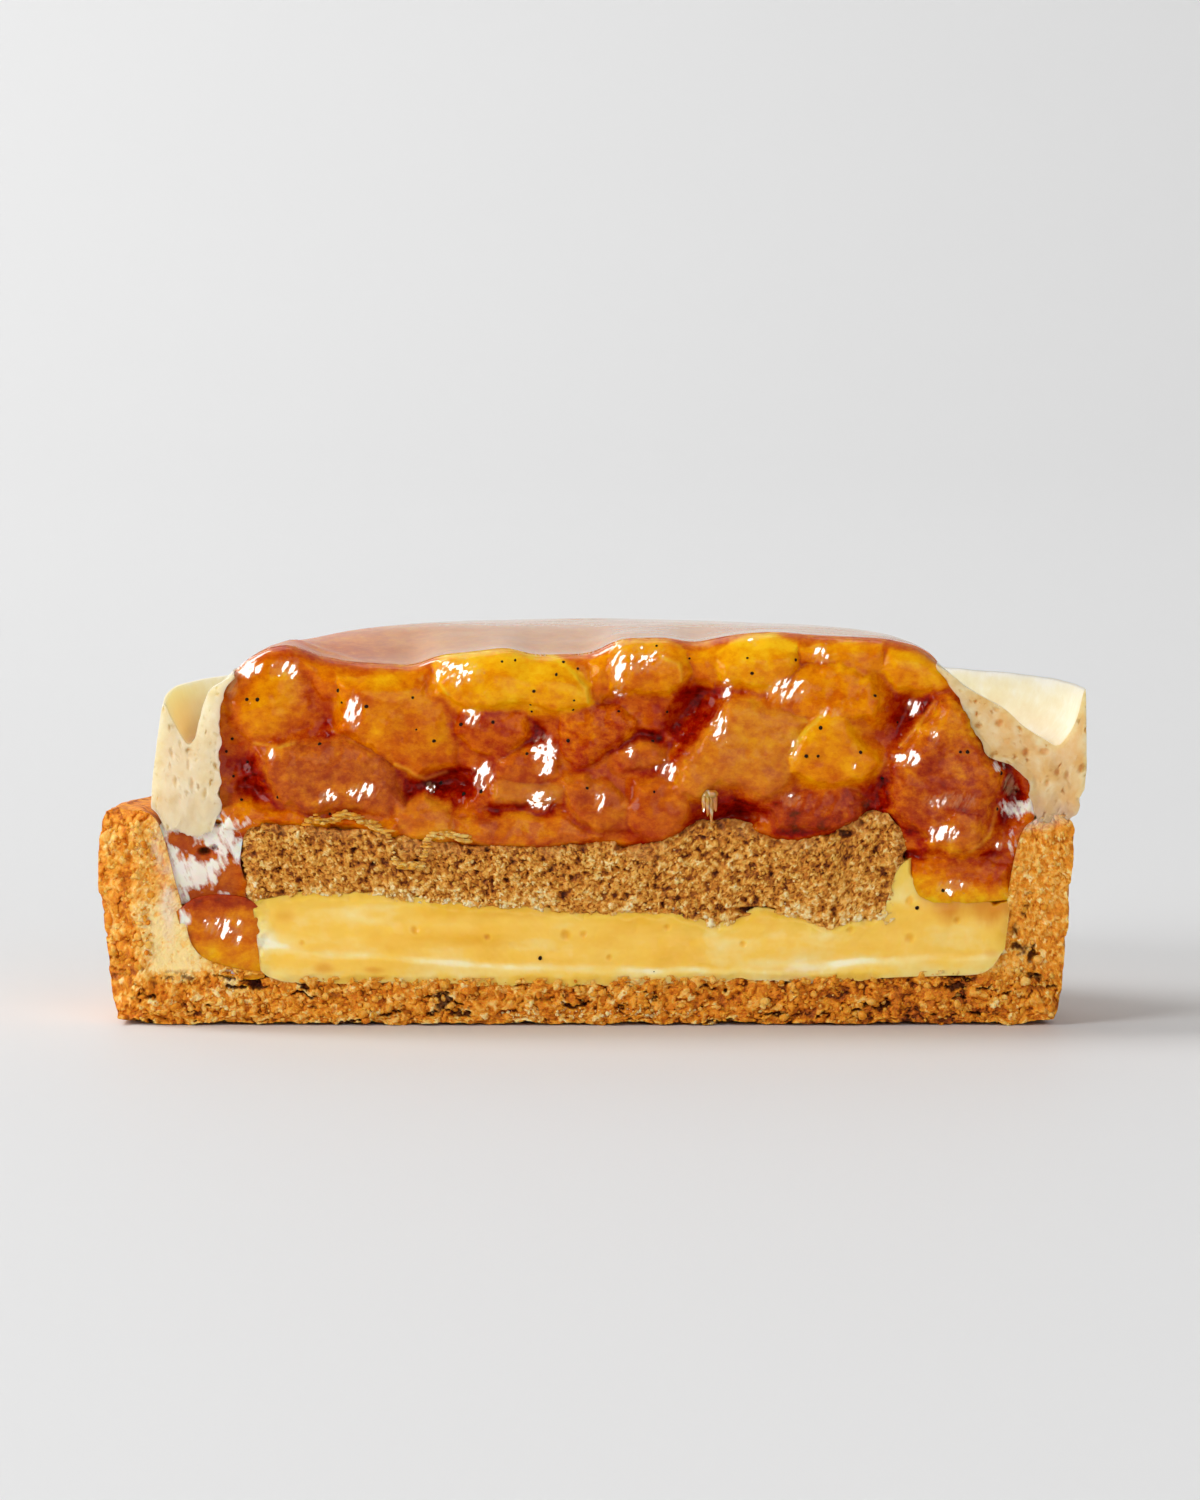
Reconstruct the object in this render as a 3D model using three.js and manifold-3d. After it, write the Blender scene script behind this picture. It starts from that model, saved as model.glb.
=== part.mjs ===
// Half of a round apple tart, cut through the middle, standing on its base with the cut face towards -Y.
// A shortcrust case holds custard, a disc of sponge cake and a domed filling of apple dice in caramel jelly.
// A ring of whipped cream is piped round the dome: a channel between a thin inner lip and a tall outer one.
// Millimetres, +Z up. The origin is under the middle of the half tart, on the surface that it stands on.
import * as THREE from "three";
import { mergeVertices } from "three/addons/utils/BufferGeometryUtils.js";
import { ImprovedNoise } from "three/addons/math/ImprovedNoise.js";
import Module from "manifold-3d";

// ---- Driving dimensions ----

const CASE_RADIUS = 41.8; // outside of the pastry rim
const CASE_HEIGHT = 18.6; // the rim above the table
const BASE_THICKNESS = 3.7; // pastry under the custard
const CUSTARD_TOP = 10.3; // at the tart's axis
const SPONGE_TOP = 15.7; // at the tart's axis
const DOME_TOP = 32.4; // glazed top of the apple filling, at the tart's axis
const CREAM_TIP = 28.8; // the outer lip of the piped ring
const GAP = 0.4; // between neighbouring pieces

const CUT_EDGE = 1.9; // longest edge on a crumbly cut face
const SMOOTH_CUT_EDGE = 4; // longest edge on a smooth cut face
const OUTSIDE_EDGE = 3.6; // longest edge on the outside
const GLAZE_EDGE = 5; // longest edge on the glazed top
const CREAM_EDGE = 4.6; // longest edge on the piped cream
const HIDDEN_EDGE = 12; // longest edge on faces between layers

const CRUMB = { size: 2.1, height: 0.62 }; // pastry crumb on the cut face
const SPONGE_CRUMB = { size: 1.5, height: 0.5 };
const BAKED = { size: 3.4, height: 0.3 }; // unevenness of the baked outside
const CHIP = { reach: 5, depth: 2.4 }; // pastry broken off the left end of the outside wall
const JELLY_RECESS = 1.1; // how far the jelly lies behind the cut apple dice
const DICE_REACH = 1.7; // how far a dice may stand in front of the cut plane
const POCKET = { centre: 36.2, radius: 8 }; // the apple piece between custard and wall, seen from above
const RIPPLE = { waves: 5, height: 0.45, depth: 0.35 }; // the piped lip's unevenness along the ring

// ---- Sections ----
// A section runs outwards in stations, each a pair of [radius, height] points with the underside's first.
// A piece has one section at the right-hand end of the cut, another at the left-hand end, and blends them.
const UNDERSIDE = 0;
const UPSIDE = 1;

const CASE = {
  right: [
    [[0, 0], [0, BASE_THICKNESS]],
    [[13, 0], [13, BASE_THICKNESS - 0.1]],
    [[26, 0], [26, BASE_THICKNESS]],
    [[38.6, 0], [34, 4.1]],
    [[40.4, 1.2], [35.4, 5.6]],
    [[41, 5.8], [35.8, 8]],
    [[41.3, 10.9], [36.2, 11.6]],
    [[CASE_RADIUS, 15.2], [36.9, 15.2]],
    [[41.5, 17.4], [37.6, 17]],
    [[40.5, CASE_HEIGHT - 0.3], [38.9, CASE_HEIGHT - 0.5]],
  ],
  left: [
    [[0, 0], [0, BASE_THICKNESS]],
    [[13, 0], [13, BASE_THICKNESS]],
    [[26, 0], [25.5, 4]],
    [[37.6, 0], [31.4, 5.2]],
    [[39.7, 1.2], [33.4, 6.8]],
    [[40.7, 6], [34.1, 9.4]],
    [[41.6, 11.5], [34.8, 12.4]],
    [[CASE_RADIUS, 14.8], [35.6, 15.6]],
    [[41.2, 17.6], [36.4, 17.8]],
    [[39.8, CASE_HEIGHT], [37.7, CASE_HEIGHT]],
  ],
};

const CUSTARD = {
  right: [
    [[0, 4.1], [0, CUSTARD_TOP]],
    [[6, 4.05], [6, 10.1]],
    [[10, 4], [10, 9.3]],
    [[15, 4.05], [14, 9.6]],
    [[20, 4.1], [18.4, 8.4]],
    [[25, 4.1], [24.4, 8.8]],
    [[28, 4.2], [27.6, 10.1]],
    [[31, 4.3], [28.8, 11.8]],
    [[33.2, 4.6], [32.8, 12]],
    [[34.9, 6.6], [35.5, 11.4]],
  ],
  left: [
    [[0, 4.1], [0, CUSTARD_TOP]],
    [[6, 4.1], [6, 10.5]],
    [[10, 4.1], [11, 10.6]],
    [[15, 4.2], [15, 10.6]],
    [[19, 4.25], [19, 10.6]],
    [[23, 4.4], [23.5, 10.55]],
    [[26, 4.55], [27, 10.5]],
    [[28.5, 5.05], [29.3, 10.4]],
    [[30.6, 5.6], [31.5, 10.3]],
    [[32.6, 7.2], [33.5, 10]],
  ],
};

const SPONGE = {
  right: [
    [[0, CUSTARD_TOP + GAP], [0, SPONGE_TOP]],
    [[6, 10.1 + GAP], [6, 15.2]],
    [[10, 9.4 + GAP], [10, 16]],
    [[14, 9.6 + GAP], [15, 17.1]],
    [[18.4, 8.5 + GAP], [20, 17.4]],
    [[24.4, 8.9 + GAP], [24.6, 18.1]],
    [[27, 10 + GAP], [27.5, 16.3]],
  ],
  left: [
    [[0, CUSTARD_TOP + GAP], [0, SPONGE_TOP]],
    [[6, 10.5 + GAP], [6, 16.1]],
    [[11, 10.6 + GAP], [10, 16.3]],
    [[15, 10.6 + GAP], [16, 16.4]],
    [[20, 10.6 + GAP], [21, 17.2]],
    [[25, 10.55 + GAP], [25, 17.5]],
    [[28.6, 10.5 + GAP], [28.9, 17.3]],
  ],
};

const FILLING = {
  right: [
    [[0, SPONGE_TOP + GAP], [0, DOME_TOP]],
    [[6, 15.2 + GAP], [5, 33]],
    [[10, 16.05 + GAP], [10, 32.7]],
    [[15.6, 17.2 + GAP], [17, 33.7]],
    [[20.4, 17.6 + GAP], [24.5, 33.1]],
    [[24.8, 18.2 + GAP], [28.6, 31.4]],
    [[27.4, 17 + GAP], [30.8, 28.3]],
    [[28.2, 16], [32.9, 24.7]],
    [[28.3, 14.9], [35.2, 21.2]],
    [[28.4, 13.8], [36.8, 18.2]],
    [[28.6, 12.5], [35.9, 12.6]],
  ],
  left: [
    [[0, SPONGE_TOP + GAP], [0, DOME_TOP]],
    [[6, 16.1 + GAP], [6, 32]],
    [[10, 16.4 + GAP], [10, 31.9]],
    [[16, 16.5 + GAP], [16, 31.1]],
    [[21, 17.3 + GAP], [22, 32]],
    [[25.2, 17.6 + GAP], [27, 31.5]],
    [[28.4, 17.6 + GAP], [29.6, 29.4]],
    [[29.5, 16.4], [30.7, 23.5]],
    [[29.5, 14.6], [31, 18]],
    [[29.4, 13], [34.9, 17.1]],
    [[29.3, 11.2], [33.9, 11.1]],
  ],
};

const CREAM = {
  right: [
    [[31.3, 28.9], [30.5, 30.6]],
    [[33.4, 25.3], [33.6, 28.4]],
    [[35.8, 21.8], [36.4, 26]],
    [[37.7, 18.9], [39.6, 24.1]],
    [[39.4, 18.8], [42.4, CREAM_TIP]],
    [[41, 18.7], [42.9, 25.5]],
    [[42, 18.4], [42.8, 21.6]],
  ],
  left: [
    [[30.3, 29.3], [30.8, 29.9]],
    [[31.4, 23.7], [31.8, 28.6]],
    [[31.6, 18.7], [32.4, 26.6]],
    [[33.2, 18], [33.3, 24.3]],
    [[34.7, 17.7], [35.3, CREAM_TIP]],
    [[35.8, 18.2], [36.2, 26.2]],
    [[36.5, 19], [36.7, 22]],
  ],
};

// Apple dice that show on the cut face: centre across and up, width, height, clockwise tilt in degrees,
// and how far each stands in front of the cut plane.
const DICE = [
  { x: -26.4, z: 28.6, w: 9.4, h: 7, tilt: -18, out: 0.9 },
  { x: -16.2, z: 26.2, w: 9.4, h: 9, tilt: 14, out: 1.1 },
  { x: -5.9, z: 29.2, w: 13.8, h: 6, tilt: 6, out: 1.4 },
  { x: 5.6, z: 30.4, w: 8, h: 5.2, tilt: 0, out: 1.1 },
  { x: 14.6, z: 31, w: 8, h: 5.4, tilt: -4, out: 1 },
  { x: 26.4, z: 30.3, w: 8.4, h: 4.8, tilt: 12, out: 0.5 },
  { x: 20.2, z: 28.4, w: 9.8, h: 5.4, tilt: -16, out: 1.3 },
  { x: 13.2, z: 23.7, w: 12.2, h: 8.2, tilt: -30, out: 1.7 },
  { x: 21.2, z: 23.7, w: 8.2, h: 7, tilt: 14, out: 1.7 },
  { x: 30.5, z: 22.8, w: 9.4, h: 11, tilt: 16, out: 1.4 },
  { x: -21.4, z: 21.3, w: 12, h: 7, tilt: 8, out: 1.2 },
  { x: -28.4, z: 22.4, w: 5.4, h: 6, tilt: 0, out: 0.6 },
  { x: -9.8, z: 23.6, w: 7, h: 4.6, tilt: -25, out: 0.6 },
  { x: 0.6, z: 25, w: 7, h: 6.8, tilt: 12, out: 0.9 },
  { x: 7, z: 23.4, w: 6, h: 4.6, tilt: 8, out: 0.9 },
  { x: 1.5, z: 19.9, w: 7.2, h: 6.4, tilt: 20, out: 1.2 },
  { x: 6.8, z: 18.4, w: 6, h: 5.6, tilt: -10, out: 1.3 },
  { x: -12.8, z: 18.7, w: 7.6, h: 4.2, tilt: -12, out: 0.8 },
  { x: -5.6, z: 19.6, w: 8, h: 3.6, tilt: 10, out: 0.7 },
  { x: 18.8, z: 19.2, w: 9, h: 4.6, tilt: -8, out: 1 },
  { x: 26.2, z: 18.4, w: 5, h: 4.4, tilt: 10, out: 0.8 },
  { x: 32, z: 16.4, w: 9, h: 4.6, tilt: -8, out: 1.1 },
];
const DICE_DEPTH = 7; // front to back
const DICE_SQUARENESS = 3.4; // 2 is an ellipsoid, and higher is boxier
const DICE_LEAN = 0.3; // most that a dice turns out of the cut plane, in radians
const DICE_UNEVENNESS = 0.16; // share of its size that a dice's surface wanders

// ---- Helpers ----

const wasm = await Module();
wasm.setup();
const noise = new ImprovedNoise();
const mix = (a, b, share) => a + (b - a) * share;
const easeBetween = (low, high, value) => THREE.MathUtils.smoothstep(value, low, high);

// Wandering value of about -1 to 1 with bumps of the given size, and finer ones on them.
function uneven(point, size, seed) {
  const [x, y, z] = [point.x / size, point.y / size, point.z / size];
  return 1.1 * noise.noise(x, y + seed, z) + 0.6 * noise.noise(2.1 * x + seed, 2.1 * y, 2.1 * z);
}

// A grid of quads, each split into two triangles.
function addPatch(corners, rows, columns, pointAt) {
  for (let i = 0; i < rows; i++)
    for (let j = 0; j < columns; j++) {
      const [a, b, c, d] = [pointAt(i, j), pointAt(i + 1, j), pointAt(i + 1, j + 1), pointAt(i, j + 1)];
      corners.push(a, b, c, a, c, d);
    }
}

// Closed half ring or half disc: the section carried half a turn round the axis, from right end to left end.
// The shift moves a point out and up, by its share of the turn, of the way outwards and of the way up.
function halfTurn(section, { turns, across = 1, shift = () => [0, 0] }) {
  const stations = section.right.length - 1;
  const pointAt = (station, level, turn) => {
    const angle = (Math.PI * turn) / turns;
    const toLeft = (1 - Math.cos(angle)) / 2;
    const [under, upper] = [UNDERSIDE, UPSIDE].map((side) => {
      const rightEnd = new THREE.Vector2(...section.right[station][side]);
      return rightEnd.lerp(new THREE.Vector2(...section.left[station][side]), toLeft);
    });
    const p = under.lerp(upper, level / across);
    const [outwards, up] = shift(turn / turns, station / stations, level / across);
    const radius = p.x + outwards;
    return new THREE.Vector3(radius * Math.cos(angle), radius * Math.sin(angle), Math.max(0, p.y + up));
  };
  const corners = [];
  addPatch(corners, stations, turns, (i, k) => pointAt(i, across, k));
  addPatch(corners, turns, stations, (k, i) => pointAt(i, 0, k));
  addPatch(corners, turns, across, (k, t) => pointAt(stations, t, k));
  addPatch(corners, across, turns, (t, k) => pointAt(0, t, k));
  addPatch(corners, stations, across, (i, t) => pointAt(i, t, 0));
  addPatch(corners, across, stations, (t, i) => pointAt(i, t, turns));
  return new THREE.BufferGeometry().setFromPoints(corners);
}

// Points and triangles of a geometry, with shared corners merged and collapsed triangles dropped.
function netOf(geometry) {
  const bare = new THREE.BufferGeometry().setAttribute("position", geometry.getAttribute("position"));
  bare.setIndex(geometry.index);
  const merged = mergeVertices(bare, 1e-4);
  const position = merged.getAttribute("position");
  const pointAt = (_, i) => new THREE.Vector3().fromBufferAttribute(position, i);
  const points = Array.from({ length: position.count }, pointAt);
  const triangles = [];
  for (let i = 0; i < merged.index.count; i += 3) {
    const [a, b, c] = [0, 1, 2].map((k) => merged.index.getX(i + k));
    if (a !== b && b !== c && c !== a) triangles.push([a, b, c]);
  }
  return { points, triangles };
}

function solidOf({ points, triangles }) {
  const vertProperties = new Float32Array(points.flatMap((p) => p.toArray()));
  const triVerts = new Uint32Array(triangles.flat());
  return new wasm.Manifold(new wasm.Mesh({ numProp: 3, vertProperties, triVerts }));
}

function netOfSolid(solid) {
  const mesh = solid.getMesh();
  const position = new Float32Array(mesh.numVert * 3);
  for (let i = 0; i < mesh.numVert; i++)
    position.set(mesh.vertProperties.subarray(i * mesh.numProp, i * mesh.numProp + 3), i * 3);
  const geometry = new THREE.BufferGeometry();
  geometry.setAttribute("position", new THREE.BufferAttribute(position, 3));
  geometry.setIndex(new THREE.BufferAttribute(mesh.triVerts, 1));
  return mainShell(netOf(geometry));
}

// The largest of a net's shells: fusing may leave loose scraps outside it and sealed hollows inside it.
function mainShell({ points, triangles }) {
  const leader = points.map((_, i) => i);
  const leaderOf = (i) => {
    while (leader[i] !== i) i = leader[i] = leader[leader[i]];
    return i;
  };
  for (const [a, b, c] of triangles) {
    leader[leaderOf(a)] = leaderOf(b);
    leader[leaderOf(b)] = leaderOf(c);
  }
  const volumes = new Map();
  for (const [a, b, c] of triangles) {
    const volume = points[a].dot(points[b].clone().cross(points[c]));
    volumes.set(leaderOf(a), (volumes.get(leaderOf(a)) ?? 0) + volume);
  }
  const [largest] = [...volumes.keys()].sort((i, j) => volumes.get(j) - volumes.get(i));
  return { points, triangles: triangles.filter(([a]) => leaderOf(a) === largest) };
}

// Splits a triangle at the middles of its long edges. A middle of -1 is an edge that stays whole.
function splitTriangle([a, b, c], [ab, bc, ca]) {
  const split = [ab, bc, ca].filter((m) => m >= 0).length;
  if (split === 0) return [[a, b, c]];
  if (split === 3) return [[a, ab, ca], [ab, b, bc], [ca, bc, c], [ab, bc, ca]];
  if (split === 1 && ab < 0) return splitTriangle([b, c, a], [bc, ca, ab]);
  if (split === 1) return [[a, ab, c], [ab, b, c]];
  if (ca >= 0) return splitTriangle([b, c, a], [bc, ca, ab]);
  return [[ab, b, bc], [a, ab, bc], [a, bc, c]];
}

// Halves edges until none is longer than limitAt says for its middle.
function refined({ points, triangles }, limitAt) {
  for (let grew = true; grew; ) {
    const middles = new Map();
    const middleOf = (a, b) => {
      const key = a < b ? `${a} ${b}` : `${b} ${a}`;
      if (!middles.has(key)) {
        const middle = points[a].clone().lerp(points[b], 0.5);
        const long = points[a].distanceTo(points[b]) > limitAt(middle);
        middles.set(key, long ? points.push(middle) - 1 : -1);
      }
      return middles.get(key);
    };
    const next = triangles.flatMap((t) => {
      const [a, b, c] = t;
      return splitTriangle(t, [middleOf(a, b), middleOf(b, c), middleOf(c, a)]);
    });
    grew = next.length > triangles.length;
    triangles = next;
  }
  return { points, triangles };
}

function withRelief({ points, triangles }, move) {
  points.forEach(move);
  return { points, triangles };
}

const onCut = (p) => p.y < 1e-3;
const radiusOf = (p) => Math.hypot(p.x, p.y);

// ---- Pieces ----

// The pastry case: crumbly on the cut, uneven where it baked against the tin, and chipped at its left end.
function caseNet() {
  const net = netOf(halfTurn(CASE, { turns: 26 }));
  const outside = (p) => radiusOf(p) > 39 && p.z > 0.4;
  const fine = refined(net, (p) => (onCut(p) ? CUT_EDGE : outside(p) ? OUTSIDE_EDGE : HIDDEN_EDGE));
  return withRelief(fine, (p) => {
    const cut = onCut(p);
    const radius = radiusOf(p);
    if (outside(p) && radius > 0) {
      const fromLeftEnd = Math.max(0, p.y);
      const chip = p.x < 0 ? CHIP.depth * (1 - easeBetween(0, CHIP.reach, fromLeftEnd)) : 0;
      const chipHere = chip * easeBetween(1, 7, p.z) * easeBetween(38.6, 41.4, radius);
      const grown = 1 + (BAKED.height * uneven(p, BAKED.size, 3) - chipHere) / radius;
      p.x *= grown;
      p.y *= grown;
      if (p.z > CASE_HEIGHT - 2) p.z += BAKED.height * uneven(p, BAKED.size, 9);
    }
    if (cut) {
      p.y = CRUMB.height * uneven(p, CRUMB.size, 5);
      if (p.z < 0.1) p.z = Math.max(0, CRUMB.height * uneven(p, CRUMB.size, 17));
    }
  });
}

// The custard and, at the left end of the cut, the apple piece that fills the space beside it.
function custardNets() {
  const whole = solidOf(netOf(halfTurn(CUSTARD, { turns: 24 })));
  const column = (radius) => {
    const standing = new THREE.CylinderGeometry(radius, radius, 3 * CUSTARD_TOP, 24).rotateX(Math.PI / 2);
    return solidOf(netOf(standing.translate(-POCKET.centre, 0, CUSTARD_TOP)));
  };
  const smooth = (net) => refined(net, (p) => (onCut(p) ? SMOOTH_CUT_EDGE : HIDDEN_EDGE));
  const custard = smooth(netOfSolid(whole.subtract(column(POCKET.radius + GAP))));
  const pocket = smooth(netOfSolid(whole.intersect(column(POCKET.radius))));
  const swept = (p) => onCut(p) && (p.y = 0.22 * noise.noise(p.x / 9, 0.5, p.z / 1.6) + 0.05);
  const lumpy = (p) => onCut(p) && (p.y = 0.55 * uneven(p, 3, 21) - 0.1);
  return { custard: withRelief(custard, swept), pocket: withRelief(pocket, lumpy) };
}

function spongeNet() {
  const net = netOf(halfTurn(SPONGE, { turns: 20, across: 2 }));
  const fine = refined(net, (p) => (onCut(p) ? CUT_EDGE : HIDDEN_EDGE));
  return withRelief(fine, (p) => onCut(p) && (p.y = SPONGE_CRUMB.height * uneven(p, SPONGE_CRUMB.size, 31)));
}

// One apple dice: a rounded block with soft, wandering faces.
function diceSolid({ x, z, w, h, tilt, out }, index) {
  const net = netOf(new THREE.IcosahedronGeometry(1, w > 7 ? 2 : 1));
  const lean = [DICE_LEAN * Math.sin(5 * index), DICE_LEAN * Math.cos(3 * index)];
  const turn = new THREE.Euler(lean[0], THREE.MathUtils.degToRad(tilt), lean[1]);
  net.points.forEach((p) => {
    const power = DICE_SQUARENESS;
    const length = (Math.abs(p.x) ** power + Math.abs(p.y) ** power + Math.abs(p.z) ** power) ** (-1 / power);
    const wander = 1 + DICE_UNEVENNESS * noise.noise(1.4 * p.x + 7 * index, 1.4 * p.y, 1.4 * p.z);
    p.multiplyScalar(length * wander).multiply(new THREE.Vector3(w / 2, DICE_DEPTH / 2, h / 2));
    p.applyEuler(turn).add(new THREE.Vector3(x, DICE_DEPTH / 2 - out, z));
  });
  return solidOf(net);
}

// The apple filling: a smooth glazed dome of jelly, with the cut dice standing out of its face.
function fillingNet() {
  const dome = () => netOf(halfTurn(FILLING, { turns: 24, across: 2 }));
  const edgeAt = (p) => (onCut(p) ? SMOOTH_CUT_EDGE : p.z > 28 ? GLAZE_EDGE : HIDDEN_EDGE);
  const jelly = withRelief(refined(dome(), edgeAt), (p) => {
    p.z += 0.35 * noise.noise(p.x / 11, p.y / 11, 0.7) * easeBetween(28, 31, p.z);
    if (onCut(p)) p.y = JELLY_RECESS + 0.5 * uneven(p, 4, 41);
  });
  const reach = solidOf(dome()).translate([0, -DICE_REACH, -GAP / 4]);
  const dice = DICE.map(diceSolid).reduce((all, one) => all.add(one));
  return netOfSolid(solidOf(jelly).add(dice.intersect(reach)));
}

// The piped cream: a channel between two lips, which ripples a little along the ring.
function creamNet() {
  const ripple = (turn, out, level) => {
    const wave = Math.sin(Math.PI * RIPPLE.waves * turn) ** 2;
    const atLip = level * easeBetween(0.4, 0.67, out);
    return [-RIPPLE.depth * wave * atLip, -RIPPLE.height * wave * atLip];
  };
  const net = netOf(halfTurn(CREAM, { turns: 30, across: 2, shift: ripple }));
  const fine = refined(net, (p) => (onCut(p) ? SMOOTH_CUT_EDGE : CREAM_EDGE));
  return withRelief(fine, (p) => onCut(p) && (p.y = 0.25 * uneven(p, 3, 51)));
}

// ---- The tart ----

const MATERIALS = {
  shortcrust: { color: 0xd18a3a, roughness: 0.85 },
  custard: { color: 0xefc45c, roughness: 0.35 },
  sponge: { color: 0xa9702f, roughness: 0.9 },
  apple: { color: 0xc45a08, roughness: 0.12 },
  cream: { color: 0xf3e4c4, roughness: 0.45 },
};

const tart = new THREE.Group();

function addPiece(name, net, material) {
  const geometry = new THREE.BufferGeometry().setFromPoints(net.points).setIndex(net.triangles.flat());
  geometry.computeVertexNormals();
  const finish = new THREE.MeshStandardMaterial({ ...MATERIALS[material], metalness: 0 });
  const mesh = new THREE.Mesh(geometry, finish);
  mesh.name = name;
  tart.add(mesh);
}

const { custard, pocket } = custardNets();
addPiece("pastry_case", caseNet(), "shortcrust");
addPiece("custard", custard, "custard");
addPiece("sponge_disc", spongeNet(), "sponge");
addPiece("apple_filling", fillingNet(), "apple");
addPiece("apple_pocket", pocket, "apple");
addPiece("cream_ring", creamNet(), "cream");

const middle = new THREE.Box3().setFromObject(tart).getCenter(new THREE.Vector3());
tart.position.set(-middle.x, -middle.y, 0);

export default tart;
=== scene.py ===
"""The looks of half a round apple tart: pastry, custard, sponge, glazed apple dice in jelly and piped cream.

Lengths in the script are millimetres from the tart's axis, which stands on the cut plane: x to the right along
the cut, y into the tart and z up. They turn into metres in the model's frame where a mesh is made.
"""

import math

import bmesh
import bpy
import numpy as np
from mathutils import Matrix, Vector


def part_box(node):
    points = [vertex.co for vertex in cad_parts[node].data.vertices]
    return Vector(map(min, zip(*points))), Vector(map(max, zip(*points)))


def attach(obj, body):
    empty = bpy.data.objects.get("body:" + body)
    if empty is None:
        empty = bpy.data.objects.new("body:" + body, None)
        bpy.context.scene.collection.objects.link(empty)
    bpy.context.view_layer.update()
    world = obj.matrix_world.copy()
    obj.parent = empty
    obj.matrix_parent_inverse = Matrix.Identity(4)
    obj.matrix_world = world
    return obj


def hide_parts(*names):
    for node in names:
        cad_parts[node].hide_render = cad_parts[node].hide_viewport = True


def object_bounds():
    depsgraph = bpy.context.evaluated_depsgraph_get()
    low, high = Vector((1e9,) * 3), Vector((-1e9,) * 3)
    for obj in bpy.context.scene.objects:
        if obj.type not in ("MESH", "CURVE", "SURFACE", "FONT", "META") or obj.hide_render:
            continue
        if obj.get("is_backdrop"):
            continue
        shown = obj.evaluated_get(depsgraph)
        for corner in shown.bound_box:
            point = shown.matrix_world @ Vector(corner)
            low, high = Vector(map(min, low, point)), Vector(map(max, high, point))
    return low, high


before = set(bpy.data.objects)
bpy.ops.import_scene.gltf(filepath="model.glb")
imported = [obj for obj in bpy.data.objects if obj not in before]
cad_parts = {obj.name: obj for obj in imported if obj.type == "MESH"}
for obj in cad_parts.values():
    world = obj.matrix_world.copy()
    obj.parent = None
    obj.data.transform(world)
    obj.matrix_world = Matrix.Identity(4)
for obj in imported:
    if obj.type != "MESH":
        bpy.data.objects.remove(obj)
cad_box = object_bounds()

MM = 0.001

# ---- Where the tart's axis stands in the model's frame, from the sponge disc's box ----

SPONGE_REACH_RIGHT = 27.5
SPONGE_REACH_BACK = 28.2
sponge_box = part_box("sponge_disc")
AXIS = np.array([sponge_box[1][0] / MM - SPONGE_REACH_RIGHT, sponge_box[1][1] / MM - SPONGE_REACH_BACK, 0])

# ---- Photograph ----

CAMERA_AIM = (1.4, 0, 23.6)  # what stands in the middle of the picture
CAMERA_DISTANCE = 620
CAMERA_ELEVATION = 5  # degrees
SENSOR_HEIGHT = 36
PICTURE_HEIGHT = 127.5  # of the cut plane, from the picture's top to its bottom

# ---- Sections ----
# Stations run outwards, each the radius and height of the underside and then those of the upside.

CASE = {
    "right": [
        (0, 0, 0, 4.1), (13, 0, 13, 4.5), (26, 0, 26, 4.6), (38.4, 0, 33.8, 5), (40.3, 1.2, 35.3, 5.9),
        (40.9, 5.8, 35.8, 8), (41.3, 10.9, 36.2, 11.6), (41.7, 15.2, 36.9, 15.2), (41.6, 17.2, 37.6, 17),
        (40.8, 18.1, 38.9, 18),
    ],
    "left": [
        (0, 0, 0, 4.1), (13, 0, 13, 4.1), (26, 0, 25.5, 4.4), (38.2, 0, 31.2, 5.3), (39.9, 1.2, 33.3, 6.8),
        (40.6, 6, 34, 9.4), (41.2, 11.5, 34.8, 12.4), (41.3, 14.8, 35.6, 15.6), (41, 17.4, 36.4, 17.6),
        (39.8, 18.3, 37.7, 18.4),
    ],
}

CUSTARD = {
    "right": [
        (0, 3.7, 0, 10), (6, 3.8, 6, 9.9), (10, 3.9, 10, 9.2), (15, 4, 14, 9.8), (20, 3.9, 18.4, 9.2),
        (24.8, 4.1, 24.4, 9.3), (27.6, 4.2, 26.9, 13.6), (31, 4.3, 28.8, 14.2), (34.2, 4.6, 32.8, 12.2),
        (35.9, 6.6, 36.5, 11.6),
    ],
    "left": [
        (0, 3.7, 0, 10), (6, 3.7, 6, 10.2), (10, 3.7, 11, 10.6), (15, 3.8, 15, 10.8), (19, 3.9, 19, 11.1),
        (22.4, 4, 22.8, 11.1), (25, 4, 25.4, 11), (26.2, 4.1, 26.7, 10.9), (27, 4.3, 27.6, 10.8),
        (27.5, 4.8, 28.2, 10.5),
    ],
}

SPONGE = {
    "right": [
        (0, 9.6, 0, 15.9), (6, 9.6, 6, 15.6), (10, 8.6, 10, 16.9), (14, 9, 15, 16.6), (18.4, 9.2, 20, 16.2),
        (24, 8.8, 24.4, 18.4), (26.9, 9.6, 27.5, 16.4),
    ],
    "left": [
        (0, 9.6, 0, 15.9), (6, 9.9, 6, 15.5), (11, 10.3, 10, 15.6), (15, 10.6, 16, 16.3), (20, 11, 21, 17.2),
        (25, 10.9, 25, 17.3), (28.8, 10.7, 29.4, 17.2),
    ],
}

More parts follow.
